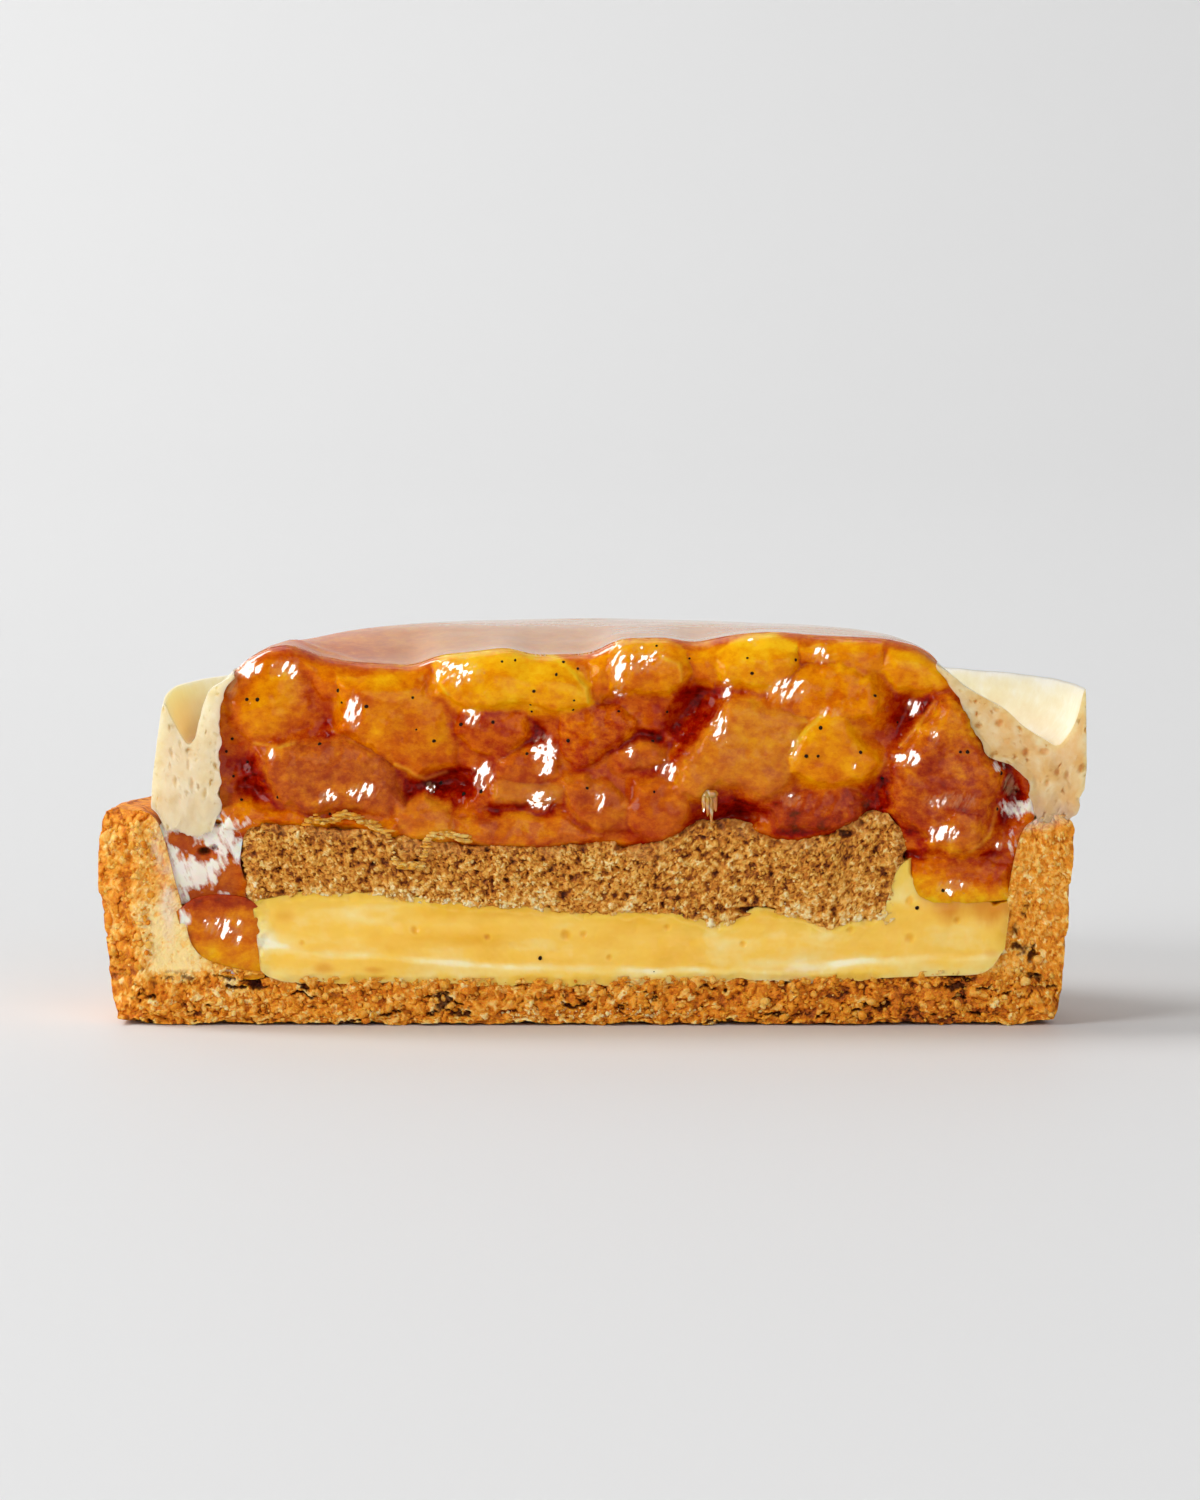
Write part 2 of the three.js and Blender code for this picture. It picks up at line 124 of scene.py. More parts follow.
FILLING = {
    "right": [
        (0, 15.5, 0, 33.5), (6, 15.5, 4.4, 33.5), (10, 16.4, 9.4, 33.5), (15.6, 16, 16.3, 33.5),
        (20.4, 16.4, 20, 33.4), (24.8, 17.8, 26, 33), (26.2, 17.2, 29.2, 31.9), (26.8, 16, 30.7, 30.2),
        (27.2, 14.8, 32.2, 28.2), (27.3, 13.8, 33.4, 25.4), (27.6, 12.6, 36.2, 22.6), (28.2, 11.4, 38.6, 20.2),
        (29, 10.9, 37.2, 15.4), (30.4, 10.3, 36.6, 10.8),
    ],
    "left": [
        (0, 15.5, 0, 33.5), (6, 15.2, 4.3, 33.5), (10, 15.4, 8.6, 33.4), (16, 16, 12.4, 33.4),
        (21, 16.9, 16.8, 33.3), (25.2, 17, 21.4, 33.2), (27.6, 17.2, 25.6, 32.7), (28.8, 16.4, 28.2, 31.5),
        (29.2, 14.8, 30.2, 29.6), (29.2, 13.6, 31.2, 27.8), (29, 12.6, 31.3, 23.8), (28.6, 11.6, 31.3, 18.6),
        (28.2, 10.8, 35.8, 17), (28.3, 10.2, 34.8, 10.4),
    ],
}

CREAM = {
    "right": [
        (30.2, 30.3, 30.2, 31), (32, 28, 32, 29.4), (33.1, 25.7, 34, 28.1), (34.5, 23.2, 35.9, 27),
        (36.6, 22.2, 37.6, 25.5), (38, 20.6, 39.2, 24.5), (38.2, 19, 40.2, 24), (38.5, 18, 41, 24.6),
        (40, 17.8, 41.9, 26.2), (41.4, 18.1, 42.5, 28.5), (42.2, 19, 42.7, 28), (42.6, 20.4, 42.8, 22),
    ],
    "left": [
        (30, 29.7, 29.9, 30.3), (30.7, 28.4, 30.8, 29.4), (31, 26.4, 31.6, 28.9), (31.1, 24, 32.1, 28.2),
        (31.1, 21.4, 32.7, 26), (31.1, 18.6, 33.1, 24.5), (31.4, 17.3, 33.7, 24.1), (32.6, 16.9, 34.4, 25.1),
        (34, 17.2, 35.1, 26.4), (35.2, 17.8, 35.7, 27.5), (36.2, 18.2, 36.1, 25.4), (36.8, 19.4, 36.6, 21.6),
    ],
}

# Edges of the layers on the cut, as (x, height).
GLAZE_EDGE = [
    (-31.1, 28), (-29.7, 30.3), (-27.7, 31.9), (-25.8, 32.5), (-24.3, 32.4), (-23, 31.6), (-19.6, 31),
    (-14.3, 30.7), (-12.4, 31.6), (-8.5, 32), (-6.4, 32.3), (-4.4, 31.6), (0.7, 31.7), (3, 33), (7.3, 33.1),
    (9.3, 32.6), (11.6, 33.1), (13.2, 33.4), (16.3, 33.6), (19.6, 33.3), (26, 33), (29, 32.1), (30.7, 30.3),
]
SPONGE_TOP = [
    (-29.7, 17), (-28.4, 17.5), (-24.1, 17.2), (-19.9, 17.2), (-15.6, 16.2), (-9.7, 15.5), (-5.4, 15.3),
    (1.4, 15.5), (4.8, 15.3), (7.3, 16.2), (9, 17), (13.3, 17), (16, 15.9), (18.4, 15.7), (20.9, 16.4),
    (22.8, 17.5), (24.3, 18.4), (26, 18), (26.9, 17.2), (27.5, 15.6),
]
SPONGE_FOOT = [
    (-29.2, 10.6), (-23.7, 11), (-20.6, 11), (-17.6, 10.9), (-15.3, 10.5), (-12.2, 10.3), (-6.8, 9.9),
    (-3.7, 9.7), (1.4, 9.4), (4.8, 9.6), (7.7, 9.5), (9.4, 8.8), (10.9, 8.2), (12.8, 8.4), (14.9, 9.7),
    (17.1, 9.4), (18.7, 9), (21, 8.1), (23.5, 8.8), (26.7, 8.8), (27.2, 10.9),
]
CUSTARD_FOOT = [
    (-28, 4.4), (-26.9, 4.2), (-19.6, 4.2), (-11.1, 4), (-0.5, 4), (8.2, 4.2), (14, 4.4), (19.7, 4.2),
    (25.7, 4.5), (34.5, 4.8), (35.6, 5.3),
]
TUCK = 0.5  # how far a layer's cut face reaches past its edge, behind its neighbour's
LEVEL_DEPTH = 0.8  # how far in from the cut a layer keeps the height of its edge there
FRONT_LIMIT = -1.6  # nothing stands further in front of the cut plane

# ---- Noise ----
# A noise call names the size of its bumps in millimetres and its seed. The number before it is its amount.

WIDTH_SEED, LIFT_SEED, OWN_SEED = 5, 6, 7  # added to a seed for a grain's width, lift and own number
PILE_FLOOR, PILE_FLOOR_OWN = -0.45, 0.3  # height and own number between the grains of a pile
FAR = 9.0  # further than any grain or dice


def hashed(cells, seed):
    """Numbers from 0 to 1 for integer cells, the same on every run."""
    h = np.full(cells.shape[:-1], (seed * 2654435761) % 2**32, dtype=np.uint32)
    for axis, factor in zip(range(cells.shape[-1]), (73856093, 19349663, 83492791)):
        h ^= (cells[..., axis].astype(np.int64) * factor).astype(np.uint32)
    for shift, factor in ((16, 0x7FEB352D), (15, 0x846CA68B)):
        h = (h ^ (h >> np.uint32(shift))) * np.uint32(factor)
    return (h ^ (h >> np.uint32(16))) / 2.0**32


def smooth(points, size, seed):
    """Wandering value from -1 to 1 with bumps of the given size. Works in two or three dimensions."""
    scaled = points / size
    base = np.floor(scaled).astype(np.int64)
    part = scaled - base
    part = part * part * (3 - 2 * part)
    total = np.zeros(points.shape[:-1])
    dims = points.shape[-1]
    for corner in range(2**dims):
        offset = np.array([(corner >> axis) & 1 for axis in range(dims)])
        weight = np.prod(np.where(offset, part, 1 - part), axis=-1)
        total += weight * hashed(base + offset, seed)
    return 2 * total - 1


def rough(points, size, seed, octaves=3, fading=0.5):
    """Smooth noise with finer noise on it, from about -1 to 1."""
    total = sum(fading**i * smooth(points, size / 2**i, seed + i) for i in range(octaves))
    return total / sum(fading**i for i in range(octaves))


def near_cells(scaled, seed):
    """The cells round each point, each with a random place in it."""
    base = np.floor(scaled).astype(np.int64)
    dims = scaled.shape[-1]
    for neighbour in range(3**dims):
        cell = base + np.array([neighbour // 3**axis % 3 - 1 for axis in range(dims)])
        yield cell, np.stack([cell[..., axis] + hashed(cell, seed + axis) for axis in range(dims)], axis=-1)


def grains(points, size, seed):
    """Nearest grain's distance in grain sizes, and that grain's own random number."""
    scaled = points / size
    nearest = np.full(points.shape[:-1], FAR)
    own = np.zeros(points.shape[:-1])
    for cell, centre in near_cells(scaled, seed):
        distance = np.linalg.norm(scaled - centre, axis=-1)
        own = np.where(distance < nearest, hashed(cell, seed + OWN_SEED), own)
        nearest = np.minimum(nearest, distance)
    return nearest, own


def pile(points, size, seed, spread=0.7):
    """Heap of round grains of mixed size: its height in grain sizes, and the top grain's own random number."""
    scaled = points / size
    height = np.full(points.shape[:-1], PILE_FLOOR)
    own = np.full(points.shape[:-1], PILE_FLOOR_OWN)
    for cell, centre in near_cells(scaled, seed):
        radius = 0.4 + 0.5 * hashed(cell, seed + WIDTH_SEED)
        rise = radius**2 - ((scaled - centre) ** 2).sum(axis=-1)
        lift = spread * (hashed(cell, seed + LIFT_SEED) - 0.5)
        grain = np.where(rise > 0, lift + np.sqrt(np.maximum(rise, 0)), -FAR)
        own = np.where(grain > height, hashed(cell, seed + OWN_SEED), own)
        height = np.maximum(height, grain)
    return height, own


def wander(points, size, seeds, octaves=3, fading=0.5):
    """Two rough noises side by side, to shift places on the cut by."""
    return np.stack([rough(points, size, seed, octaves, fading) for seed in seeds], axis=-1)


def ease(low, high, value):
    """0 below low, 1 above high, and a smooth step between."""
    share = np.clip((value - low) / (high - low), 0, 1)
    return share * share * (3 - 2 * share)


def read_off(line, at):
    """Value of a line of (place, value) points at each place."""
    return np.interp(at, *zip(*line))


def rounded(line, x, width):
    """Height of a line of (x, height) points at each x, with its corners rounded over the width."""
    return np.mean([read_off(line, x + width * shift) for shift in (-1, -0.67, -0.33, 0, 0.33, 0.67, 1)], axis=0)


def cut_plane(points):
    """The points' x and height."""
    return points[:, [0, 2]]


# ---- Meshes ----


def curve_through(points, shares):
    """Smooth curve through the points, at shares of the way that count each point alike."""
    padded = np.vstack([2 * points[0] - points[1], points, 2 * points[-1] - points[-2]])
    place = np.clip(shares, 0, 1) * (len(points) - 1)
    i = np.minimum(place.astype(int), len(points) - 2)
    t = (place - i)[:, None]
    p0, p1, p2, p3 = (padded[i + k] for k in range(4))
    bend = 2 * p0 - 5 * p1 + 4 * p2 - p3 + t * (3 * p1 - p0 - 3 * p2 + p3)
    return p1 + 0.5 * t * (p2 - p0 + t * bend)


def even_shares(end, spacing):
    """Shares of a section's stations that lie about one spacing apart on the cut face."""
    fine = np.linspace(0, 1, 2000)
    under, over = (curve_through(end[:, side], fine) for side in (0, 1))
    steps = [np.linalg.norm(np.diff(side, axis=0), axis=1) for side in (under, over)]
    length = np.concatenate([[0], np.cumsum(np.maximum(*steps))])
    count = max(2, round(length[-1] / spacing))
    return np.interp(np.linspace(0, length[-1], count + 1), length, fine)


def zipped(row_a, at_a, row_b, at_b):
    """Triangles between two rows of vertices with spacings of their own, by their places along the row."""
    triangles = []
    i = j = 0
    while i < len(row_a) - 1 or j < len(row_b) - 1:
        if j == len(row_b) - 1 or (i < len(row_a) - 1 and at_a[i + 1] <= at_b[j + 1]):
            triangles.append((row_a[i], row_a[i + 1], row_b[j]))
            i += 1
        else:
            triangles.append((row_a[i], row_b[j + 1], row_b[j]))
            j += 1
    return np.array(triangles)


def grid_triangles(index):
    """Two triangles for each square of a grid of vertex numbers."""
    a, b, c, d = index[:-1, :-1], index[1:, :-1], index[1:, 1:], index[:-1, 1:]
    return np.concatenate([np.stack([a, b, c], -1).reshape(-1, 3), np.stack([a, c, d], -1).reshape(-1, 3)])


class HalfTurn:
    """A section carried half a turn round the axis: a dense cut face, and the rest in wider steps.

    A disc's section starts on the axis, so its cut face is one sheet. A ring has a cut face at each end.
    Besides the points it keeps each vertex's share of the way up through the section, its share of the way
    outwards, and whether it is on the cut face.
    """

    def __init__(self, section, cut_spacing, body_spacing, turns, ring=False):
        self.points, self.ups, self.outs, self.cuts = [], [], [], []
        self.count = 0
        self.triangles = []
        section = {side: np.reshape(rows, (-1, 2, 2)).astype(float) for side, rows in section.items()}
        deepest = max(np.linalg.norm(end[:, 0] - end[:, 1], axis=1).max() for end in section.values())
        self.levels = max(2, round(deepest / cut_spacing))
        self.ring = ring
        body_shares = even_shares(section["right"], body_spacing)
        body_levels = max(2, round(deepest / body_spacing))
        faces = [self.cut_face(section, side, cut_spacing) for side in ("right", "left")]
        outline = self.way_round(body_levels, body_shares)
        previous, previous_at = self.face_outline(*faces[0])
        for turn in range(1, turns):
            current = self.body_row(section, outline, math.pi * turn / turns)
            if not ring:
                current[0], current[-1] = previous[0], previous[-1]
            self.triangles.append(zipped(previous, previous_at, current, outline[2]))
            previous, previous_at = current, outline[2]
        last, last_at = self.face_outline(*faces[1])
        self.triangles.append(zipped(previous, previous_at, last, last_at))
        self.points = np.concatenate(self.points)
        self.ups, self.outs = np.concatenate(self.ups), np.concatenate(self.outs)
        self.cuts = np.concatenate(self.cuts)
        triangles = np.concatenate(self.triangles)
        a, b, c = triangles.T
        self.triangles = triangles[(a != b) & (b != c) & (c != a)]

    def add(self, points, ups, outs, cut):
        shape = points.shape[:-1]
        self.points.append(points.reshape(-1, 3))
        self.ups.append(np.broadcast_to(ups, shape).reshape(-1))
        self.outs.append(np.broadcast_to(outs, shape).reshape(-1))
        self.cuts.append(np.full(points.size // 3, cut))
        index = np.arange(self.count, self.count + points.size // 3).reshape(shape)
        self.count += index.size
        return index

    def cut_face(self, section, side, spacing):
        shares = even_shares(section[side], spacing)
        under, over = (curve_through(section[side][:, k], shares) for k in (0, 1))
        level = np.linspace(0, 1, self.levels + 1)[None, :, None]
        flat = under[:, None] * (1 - level) + over[:, None] * level
        sign = 1 if side == "right" else -1
        points = np.stack([sign * flat[..., 0], 0 * flat[..., 0], flat[..., 1]], axis=-1)
        if side == "left" and not self.ring:
            index = self.add(points[1:], level[..., 0], shares[1:, None], True)
            index = np.vstack([self.axis_column, index])
        else:
            index = self.add(points, level[..., 0], shares[:, None], True)
            self.axis_column = index[:1]
        triangles = grid_triangles(index)
        self.triangles.append(triangles[:, ::-1] if side == "left" else triangles)
        return index, shares

    def way_round(self, levels, shares):
        """Places round a section's outline: along the underside, up the outside, and back along the upside."""
        up = np.linspace(0, 1, levels + 1)
        outs = [shares, np.ones(levels), shares[::-1][1:]]
        ups = [np.zeros(len(shares)), up[1:], np.ones(len(shares) - 1)]
        if self.ring:
            outs.append(np.zeros(levels))
            ups.append(up[::-1][1:])
        outs, ups = np.concatenate(outs), np.concatenate(ups)
        return outs, ups, self.place(outs, ups)

    @staticmethod
    def place(outs, ups):
        """How far round the outline each vertex is, from 0 to 3, or to 4 for a ring."""
        at = np.where(ups == 0, outs, np.where(ups == 1, 3 - outs, 1 + ups))
        wrapped = (outs == 0) & (np.arange(len(outs)) > len(outs) / 2)
        return np.where(wrapped, 4 - ups, at)

    def face_outline(self, index, shares):
        rows = [index[:, 0], index[-1, 1:], index[::-1, -1][1:]]
        _, _, at = self.way_round(index.shape[1] - 1, shares)
        if self.ring:
            rows.append(index[0, ::-1][1:])
        return np.concatenate(rows), at

    def body_row(self, section, outline, angle):
        outs, ups, _ = outline
        to_left = (1 - math.cos(angle)) / 2
        flat = 0
        for side, share in (("right", 1 - to_left), ("left", to_left)):
            under, over = (curve_through(section[side][:, k], outs) for k in (0, 1))
            flat = flat + share * (under + (over - under) * ups[:, None])
        direction = np.array([math.cos(angle), math.sin(angle)])
        points = np.column_stack([flat[:, :1] * direction, flat[:, 1]])
        return self.add(points, ups, outs, False)


def make_object(name, points, triangles, material, attributes=None):
    """A mesh object from millimetre points round the tart's axis, riding on the tart."""
    mesh = bpy.data.meshes.new(name)
    mesh.vertices.add(len(points))
    mesh.vertices.foreach_set("co", ((points + AXIS) * MM).astype(np.float32).ravel())
    mesh.loops.add(3 * len(triangles))
    mesh.loops.foreach_set("vertex_index", triangles.astype(np.int32).ravel())
    mesh.polygons.add(len(triangles))
    mesh.polygons.foreach_set("loop_start", np.arange(0, 3 * len(triangles), 3, dtype=np.int32))
    mesh.polygons.foreach_set("loop_total", np.full(len(triangles), 3, dtype=np.int32))
    mesh.update(calc_edges=True)
    mesh.validate()
    mesh.shade_smooth()
    for key, values in (attributes or {}).items():
        layer = mesh.attributes.new(key, "FLOAT", "POINT")
        layer.data.foreach_set("value", np.asarray(values, dtype=np.float32))
    mesh.materials.append(material)
    piece = bpy.data.objects.new(name, mesh)
    bpy.context.scene.collection.objects.link(piece)
    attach(piece, "root")
    return piece


def pushed_back(points, relief, reach):
    """Moves the cut face and what is close behind it by the relief, which fades into the tart."""
    moved = points.copy()
    moved[:, 1] += np.maximum(relief, FRONT_LIMIT) * np.exp(-np.maximum(points[:, 1], 0) / reach)
    return moved


def fitted(body, low, high, ends, reach=4, ragged=0.3):
    """Moves the heights near the cut so that the layer's edges there follow the given ones, and how far each
    vertex of the cut is from the nearer edge, negative where the layer is tucked behind its neighbour."""
    x, y, z = body.points.T
    along = cut_plane(body.points) * [1, 0]
    foot = read_off(low, x) - TUCK + ragged * rough(along, 1.2, 71, 4, 0.6)
    head = read_off(high, x) + TUCK + ragged * rough(along, 1.2, 75, 4, 0.6)
    target = foot + (head - foot) * body.ups
    middle = ease(ends[0] - 1.2, ends[0] + 1.2, x) * ease(ends[1] + 1.2, ends[1] - 1.2, x)
    moved = body.points.copy()
    moved[:, 2] += middle * np.exp(-((np.maximum(y - LEVEL_DEPTH, 0) / reach) ** 2)) * (target - z)
    inside = np.minimum(moved[:, 2] - foot, head - moved[:, 2]) - TUCK
    return moved, 1 + middle * (np.minimum(inside, 1) - 1)


def tuck_in(inside, depth=0.9):
    """How far a cut face steps back near its edges, so that it goes behind its neighbour there."""
    return depth * ease(0.35, -TUCK, inside)


def spots(flat, places, seed, softness=0.55, wobble=0.35):
    """Soft uneven ellipses of (x, height, half width, half height, amount) on the cut: the highest amount."""
    shape = wobble * rough(flat, 1.4, seed)
    amount = np.zeros(len(flat))
    for x, z, wide, high, most in places:
        away = np.hypot((flat[:, 0] - x) / wide, (flat[:, 1] - z) / high) + shape
        amount = np.maximum(amount, most * ease(1 + softness / 2, 1 - softness, away))
    return amount


# ---- Materials ----

FACET = (-0.4, -0.88, 0.25)  # the way that the small facets of crinkled wet skin face
STREAK_LEAN = 25  # degrees from upright that the facets lean to the right
BAKED_RADIUS = (1, 0.45, 0.15)  # how far red, green and blue light spreads in baked crumb, as shares


def rgb(code):
    """Linear colour of an RRGGBB code."""
    channels = [int(code[i : i + 2], 16) / 255 for i in (0, 2, 4)]
    return [c / 12.92 if c <= 0.04045 else ((c + 0.055) / 1.055) ** 2.4 for c in channels] + [1]


class Material:
    """A node material: its Principled shader and short calls for the nodes that lead to it.

    Keywords are the shader's own sockets, with _ for a space. Sizes of noise and bumps are in millimetres.
    """

    def __init__(self, name, **sockets):
        self.data = bpy.data.materials.new(name)
        self.data.use_nodes = True
        self.nodes = self.data.node_tree.nodes
        self.links = self.data.node_tree.links
        self.shader = self.nodes["Principled BSDF"]
        for key, value in sockets.items():
            self.shader.inputs[key.replace("_", " ")].default_value = value

    def node(self, kind, values=None, **settings):
        made = self.nodes.new(kind)
        for key, value in settings.items():
            setattr(made, key, value)
        for key, value in (values or {}).items():
            if hasattr(value, "is_output"):
                self.links.new(value, made.inputs[key])
            else:
                made.inputs[key].default_value = value
        return made

    def attribute(self, name):
        return self.node("ShaderNodeAttribute", attribute_name=name).outputs["Fac"]

    def noise(self, size, detail=3, roughness=0.55, stretch=(1, 1, 1)):
        """Noise of 0 to 1 with bumps of the given size in millimetres."""
        place = self.node("ShaderNodeTexCoord").outputs["Object"]
        scaled = self.node("ShaderNodeMapping", {"Vector": place, "Scale": stretch}).outputs["Vector"]
        values = {"Vector": scaled, "Scale": 0.5 / (size * MM), "Detail": detail, "Roughness": roughness}
        return self.node("ShaderNodeTexNoise", values).outputs["Fac"]

    def streaks(self, width, length, lean, detail):
        """Noise of 0 to 1 drawn out upwards, in streaks that lean to the right by the given degrees."""
        place = self.node("ShaderNodeTexCoord").outputs["Object"]
        values = {"Vector": place, "Rotation": (0, math.radians(lean), 0), "Scale": (1, 1, length / width)}
        turned = self.node("ShaderNodeMapping", values, vector_type="TEXTURE").outputs["Vector"]
        values = {"Vector": turned, "Scale": 0.5 / (width * MM), "Detail": detail}
        return self.node("ShaderNodeTexNoise", values).outputs["Fac"]

    def math(self, operation, a, b=0.0, clamp=False):
        return self.node("ShaderNodeMath", {0: a, 1: b}, operation=operation, use_clamp=clamp).outputs[0]

    def add(self, a, *others):
        return self.math("ADD", a, self.add(*others) if len(others) > 1 else others[0])

    def times(self, a, b):
        return self.math("MULTIPLY", a, b)

    def mix(self, share, a, b):
        values = {0: share, 6: a, 7: b}
        return self.node("ShaderNodeMix", values, data_type="RGBA").outputs[2]

    def centred(self, value, amount):
        """A value of 0 to 1 turned into one round 0, times the amount."""
        return self.math("MULTIPLY", self.math("SUBTRACT", value, 0.5), amount)

    def ramp(self, factor, stops):
        made = self.node("ShaderNodeValToRGB", {"Fac": factor})
        elements = made.color_ramp.elements
        while len(elements) < len(stops):
            elements.new(0.5)
        for element, (place, colour) in zip(elements, stops):
            element.position = place
            element.color = rgb(colour)
        return made.outputs["Color"]

    def spread(self, value, low, high):
        """The value's stretch from low to high, turned into 0 to 1."""
        values = {"Value": value, "From Min": low, "From Max": high}
        return self.node("ShaderNodeMapRange", values).outputs["Result"]

    def bump(self, height, distance, strength=1.0, normal=None):
        values = {"Height": height, "Distance": distance * MM, "Strength": strength}
        if normal is not None:
            values["Normal"] = normal
        return self.node("ShaderNodeBump", values).outputs["Normal"]

    def drive(self, socket, output):
        self.links.new(output, self.shader.inputs[socket])


def pastry_material():
    made = Material(
        "baked_pastry", Roughness=0.6, Specular_IOR_Level=0.3, Subsurface_Weight=0.35, Subsurface_Scale=0.001,
        Subsurface_Radius=BAKED_RADIUS,
    )
    blotch = made.centred(made.noise(2.4, 4, 0.6), 0.4)
    fine = made.noise(0.22, 4, 0.7)
    # The toasting holds painted shade where the crumb lies back.
    toast_and_shade = made.add(made.attribute("toast_and_shade"), blotch, made.centred(fine, -0.8))
    tones = [(0, "FFDE98"), (0.2, "FAC060"), (0.42, "F09C22"), (0.62, "DA7C08"), (0.82, "AE5604"), (1, "763204")]
    colour = made.ramp(toast_and_shade, tones)
    # Crevices, holes and low crumb are mixed towards dark brown: painted shade.
    colour = made.mix(made.attribute("shaded_pit"), colour, rgb("541E04"))
    colour = made.mix(made.attribute("smear"), colour, rgb("ECD6C0"))
    made.drive("Base Color", colour)
    made.drive("Normal", made.bump(fine, 0.22, 1))
    return made.data


def sponge_material():
    made = Material(
        "sponge_crumb", Roughness=0.6, Specular_IOR_Level=0.35, Subsurface_Weight=0.25, Subsurface_Scale=0.0008,
        Subsurface_Radius=BAKED_RADIUS,
    )
    fine = made.noise(0.16, 4, 0.7)
    tone = made.add(made.attribute("tone"), made.centred(fine, 0.7))
    tone = made.add(tone, made.centred(made.noise(2, 3, 0.5), 0.5))
    tones = [(0, "541C02"), (0.2, "944A0A"), (0.42, "CE801C"), (0.65, "EBAC48"), (0.85, "F6D288"), (1, "FFEBBA")]
    colour = made.ramp(tone, tones)
    colour = made.mix(made.attribute("soaked"), colour, rgb("D08C44"))
    made.drive("Base Color", colour)
    made.drive("Normal", made.bump(fine, 0.16, 1))
    return made.data


def custard_material():
    made = Material(
        "custard", Roughness=0.3, Specular_IOR_Level=0.4, Subsurface_Weight=0.5, Subsurface_Scale=0.002,
        Subsurface_Radius=(1, 0.6, 0.2),
    )
    cloud = made.centred(made.noise(2.6, 3, 0.5, (0.45, 1, 1.5)), 0.5)
    tone = made.add(made.attribute("tone"), cloud)
    tones = [(0, "DC960E"), (0.3, "F0B830"), (0.6, "FACA52"), (0.8, "FADA86"), (1, "FFF2CC")]
    colour = made.ramp(tone, tones)
    colour = made.mix(made.attribute("stain"), colour, rgb("DC8C06"))
    made.drive("Base Color", colour)
    made.drive("Normal", made.bump(made.noise(0.6, 3, 0.5), 0.05, 0.5))
    return made.data


def filling_material():
    made = Material(
        "apple_in_jelly", Roughness=0.35, Specular_IOR_Level=0, Subsurface_Weight=0.6, Subsurface_Scale=0.0015,
        Subsurface_Radius=(1, 0.3, 0.05), Coat_IOR=2.3, Coat_Roughness=0.04,
    )
    fibrous, crinkle = made.attribute("fibre"), made.attribute("crinkle")
    cloud = made.centred(made.noise(1.5, 5, 0.65), 0.45)
    curdled = made.math("ABSOLUTE", made.centred(made.noise(1.1, 4, 0.65, (0.8, 1, 1.3)), 2))
    wisps = made.times(made.spread(curdled, 0.2, 0), 0.06)
    flecks = made.spread(made.noise(0.6, 5, 0.75, (0.9, 1, 1.2)), 0.4, 0.6)
    cloud = made.add(cloud, made.centred(flecks, 0.14))
    mottle = made.times(made.centred(made.noise(0.5, 4, 0.65, (1, 1, 1.25)), 0.8), fibrous)
    glow = made.add(made.attribute("glow"), cloud, mottle)
    tones = [
        (0, "2A0100"), (0.12, "620300"), (0.26, "960E00"), (0.4, "B03A00"), (0.55, "CC6200"), (0.7, "E08600"),
        (0.85, "EDA606"), (1, "F4BE18"),
    ]
    colour = made.ramp(made.add(glow, wisps), tones)
    colour = made.mix(made.attribute("pale"), colour, rgb("B97F38"))
    streaks = made.centred(made.streaks(0.2, 0.6, STREAK_LEAN, 4), 3.4)
    wet = made.add(made.times(crinkle, 0.68), streaks)
    # Round the crinkles the colour is painted paler and pinker: a painted sheen beside the coat's real gloss.
    painted_sheen = made.times(made.spread(wet, 0, 0.7), made.spread(crinkle, 0.02, 0.5))
    colour = made.mix(made.times(painted_sheen, 0.36), colour, rgb("DCA878"))
    feather = made.centred(made.streaks(0.22, 0.7, -STREAK_LEAN, 5), 2.6)
    feather = made.times(feather, made.spread(fibrous, 0, 0.2))
    film = made.add(made.times(made.attribute("film"), 0.9), feather)
    film = made.times(made.spread(film, 0.15, 0.75), made.spread(made.attribute("film"), 0.02, 0.2))
    colour = made.mix(film, colour, rgb("F0E8DC"))
    made.drive("Base Color", colour)
    grain = made.times(made.noise(0.4, 4, 0.6), fibrous)
    made.drive("Normal", made.bump(grain, 0.16, 0.8))
    facet = made.times(made.spread(wet, 0.6, 0.74), made.spread(crinkle, 0.02, 0.1))
    made.drive("Coat Weight", made.math("MAXIMUM", made.attribute("gloss"), facet, clamp=True))
    own_way = made.node("ShaderNodeTexCoord").outputs["Normal"]
    way = made.node("ShaderNodeMix", {0: facet, 4: own_way, 5: FACET}, data_type="VECTOR").outputs[1]
    to_world = {"vector_type": "NORMAL", "convert_from": "OBJECT", "convert_to": "WORLD"}
    way = made.node("ShaderNodeVectorTransform", {0: way}, **to_world).outputs[0]
    made.drive("Coat Normal", made.bump(made.noise(0.9, 2), 0.06, 1, way))
    return made.data


def cream_material():
    made = Material(
        "whipped_cream", Roughness=0.45, Specular_IOR_Level=0.35, Subsurface_Weight=0.7, Subsurface_Scale=0.0024,
        Subsurface_Radius=(1, 0.85, 0.55),
    )
    cloud = made.centred(made.noise(3, 3, 0.5), 0.25)
    foam = made.noise(0.5, 4, 0.65)
    tone = made.add(made.attribute("tone"), cloud, made.centred(foam, 0.35))
    tones = [(0, "D89A40"), (0.25, "E2B878"), (0.5, "EAD3A6"), (0.75, "F2E2C0"), (1, "FBF3E0")]
    # The channel's yellow is painted bounce light; on the left cut it is a yellow mottling of the cream.
    colour = made.mix(made.attribute("butter_and_bounce_light"), made.ramp(tone, tones), rgb("FFDA7C"))
    colour = made.mix(made.attribute("melt"), colour, rgb("C9A286"))
    made.drive("Base Color", colour)
    made.drive("Normal", made.bump(foam, 0.1, 0.8))
    return made.data


def speck_material():
    made = Material("vanilla_seed", Roughness=0.5, Specular_IOR_Level=0.1)
    made.drive("Base Color", made.mix(made.noise(0.2, 2), rgb("0E0603"), rgb("2C1407")))
    return made.data


# ---- Pastry case ----


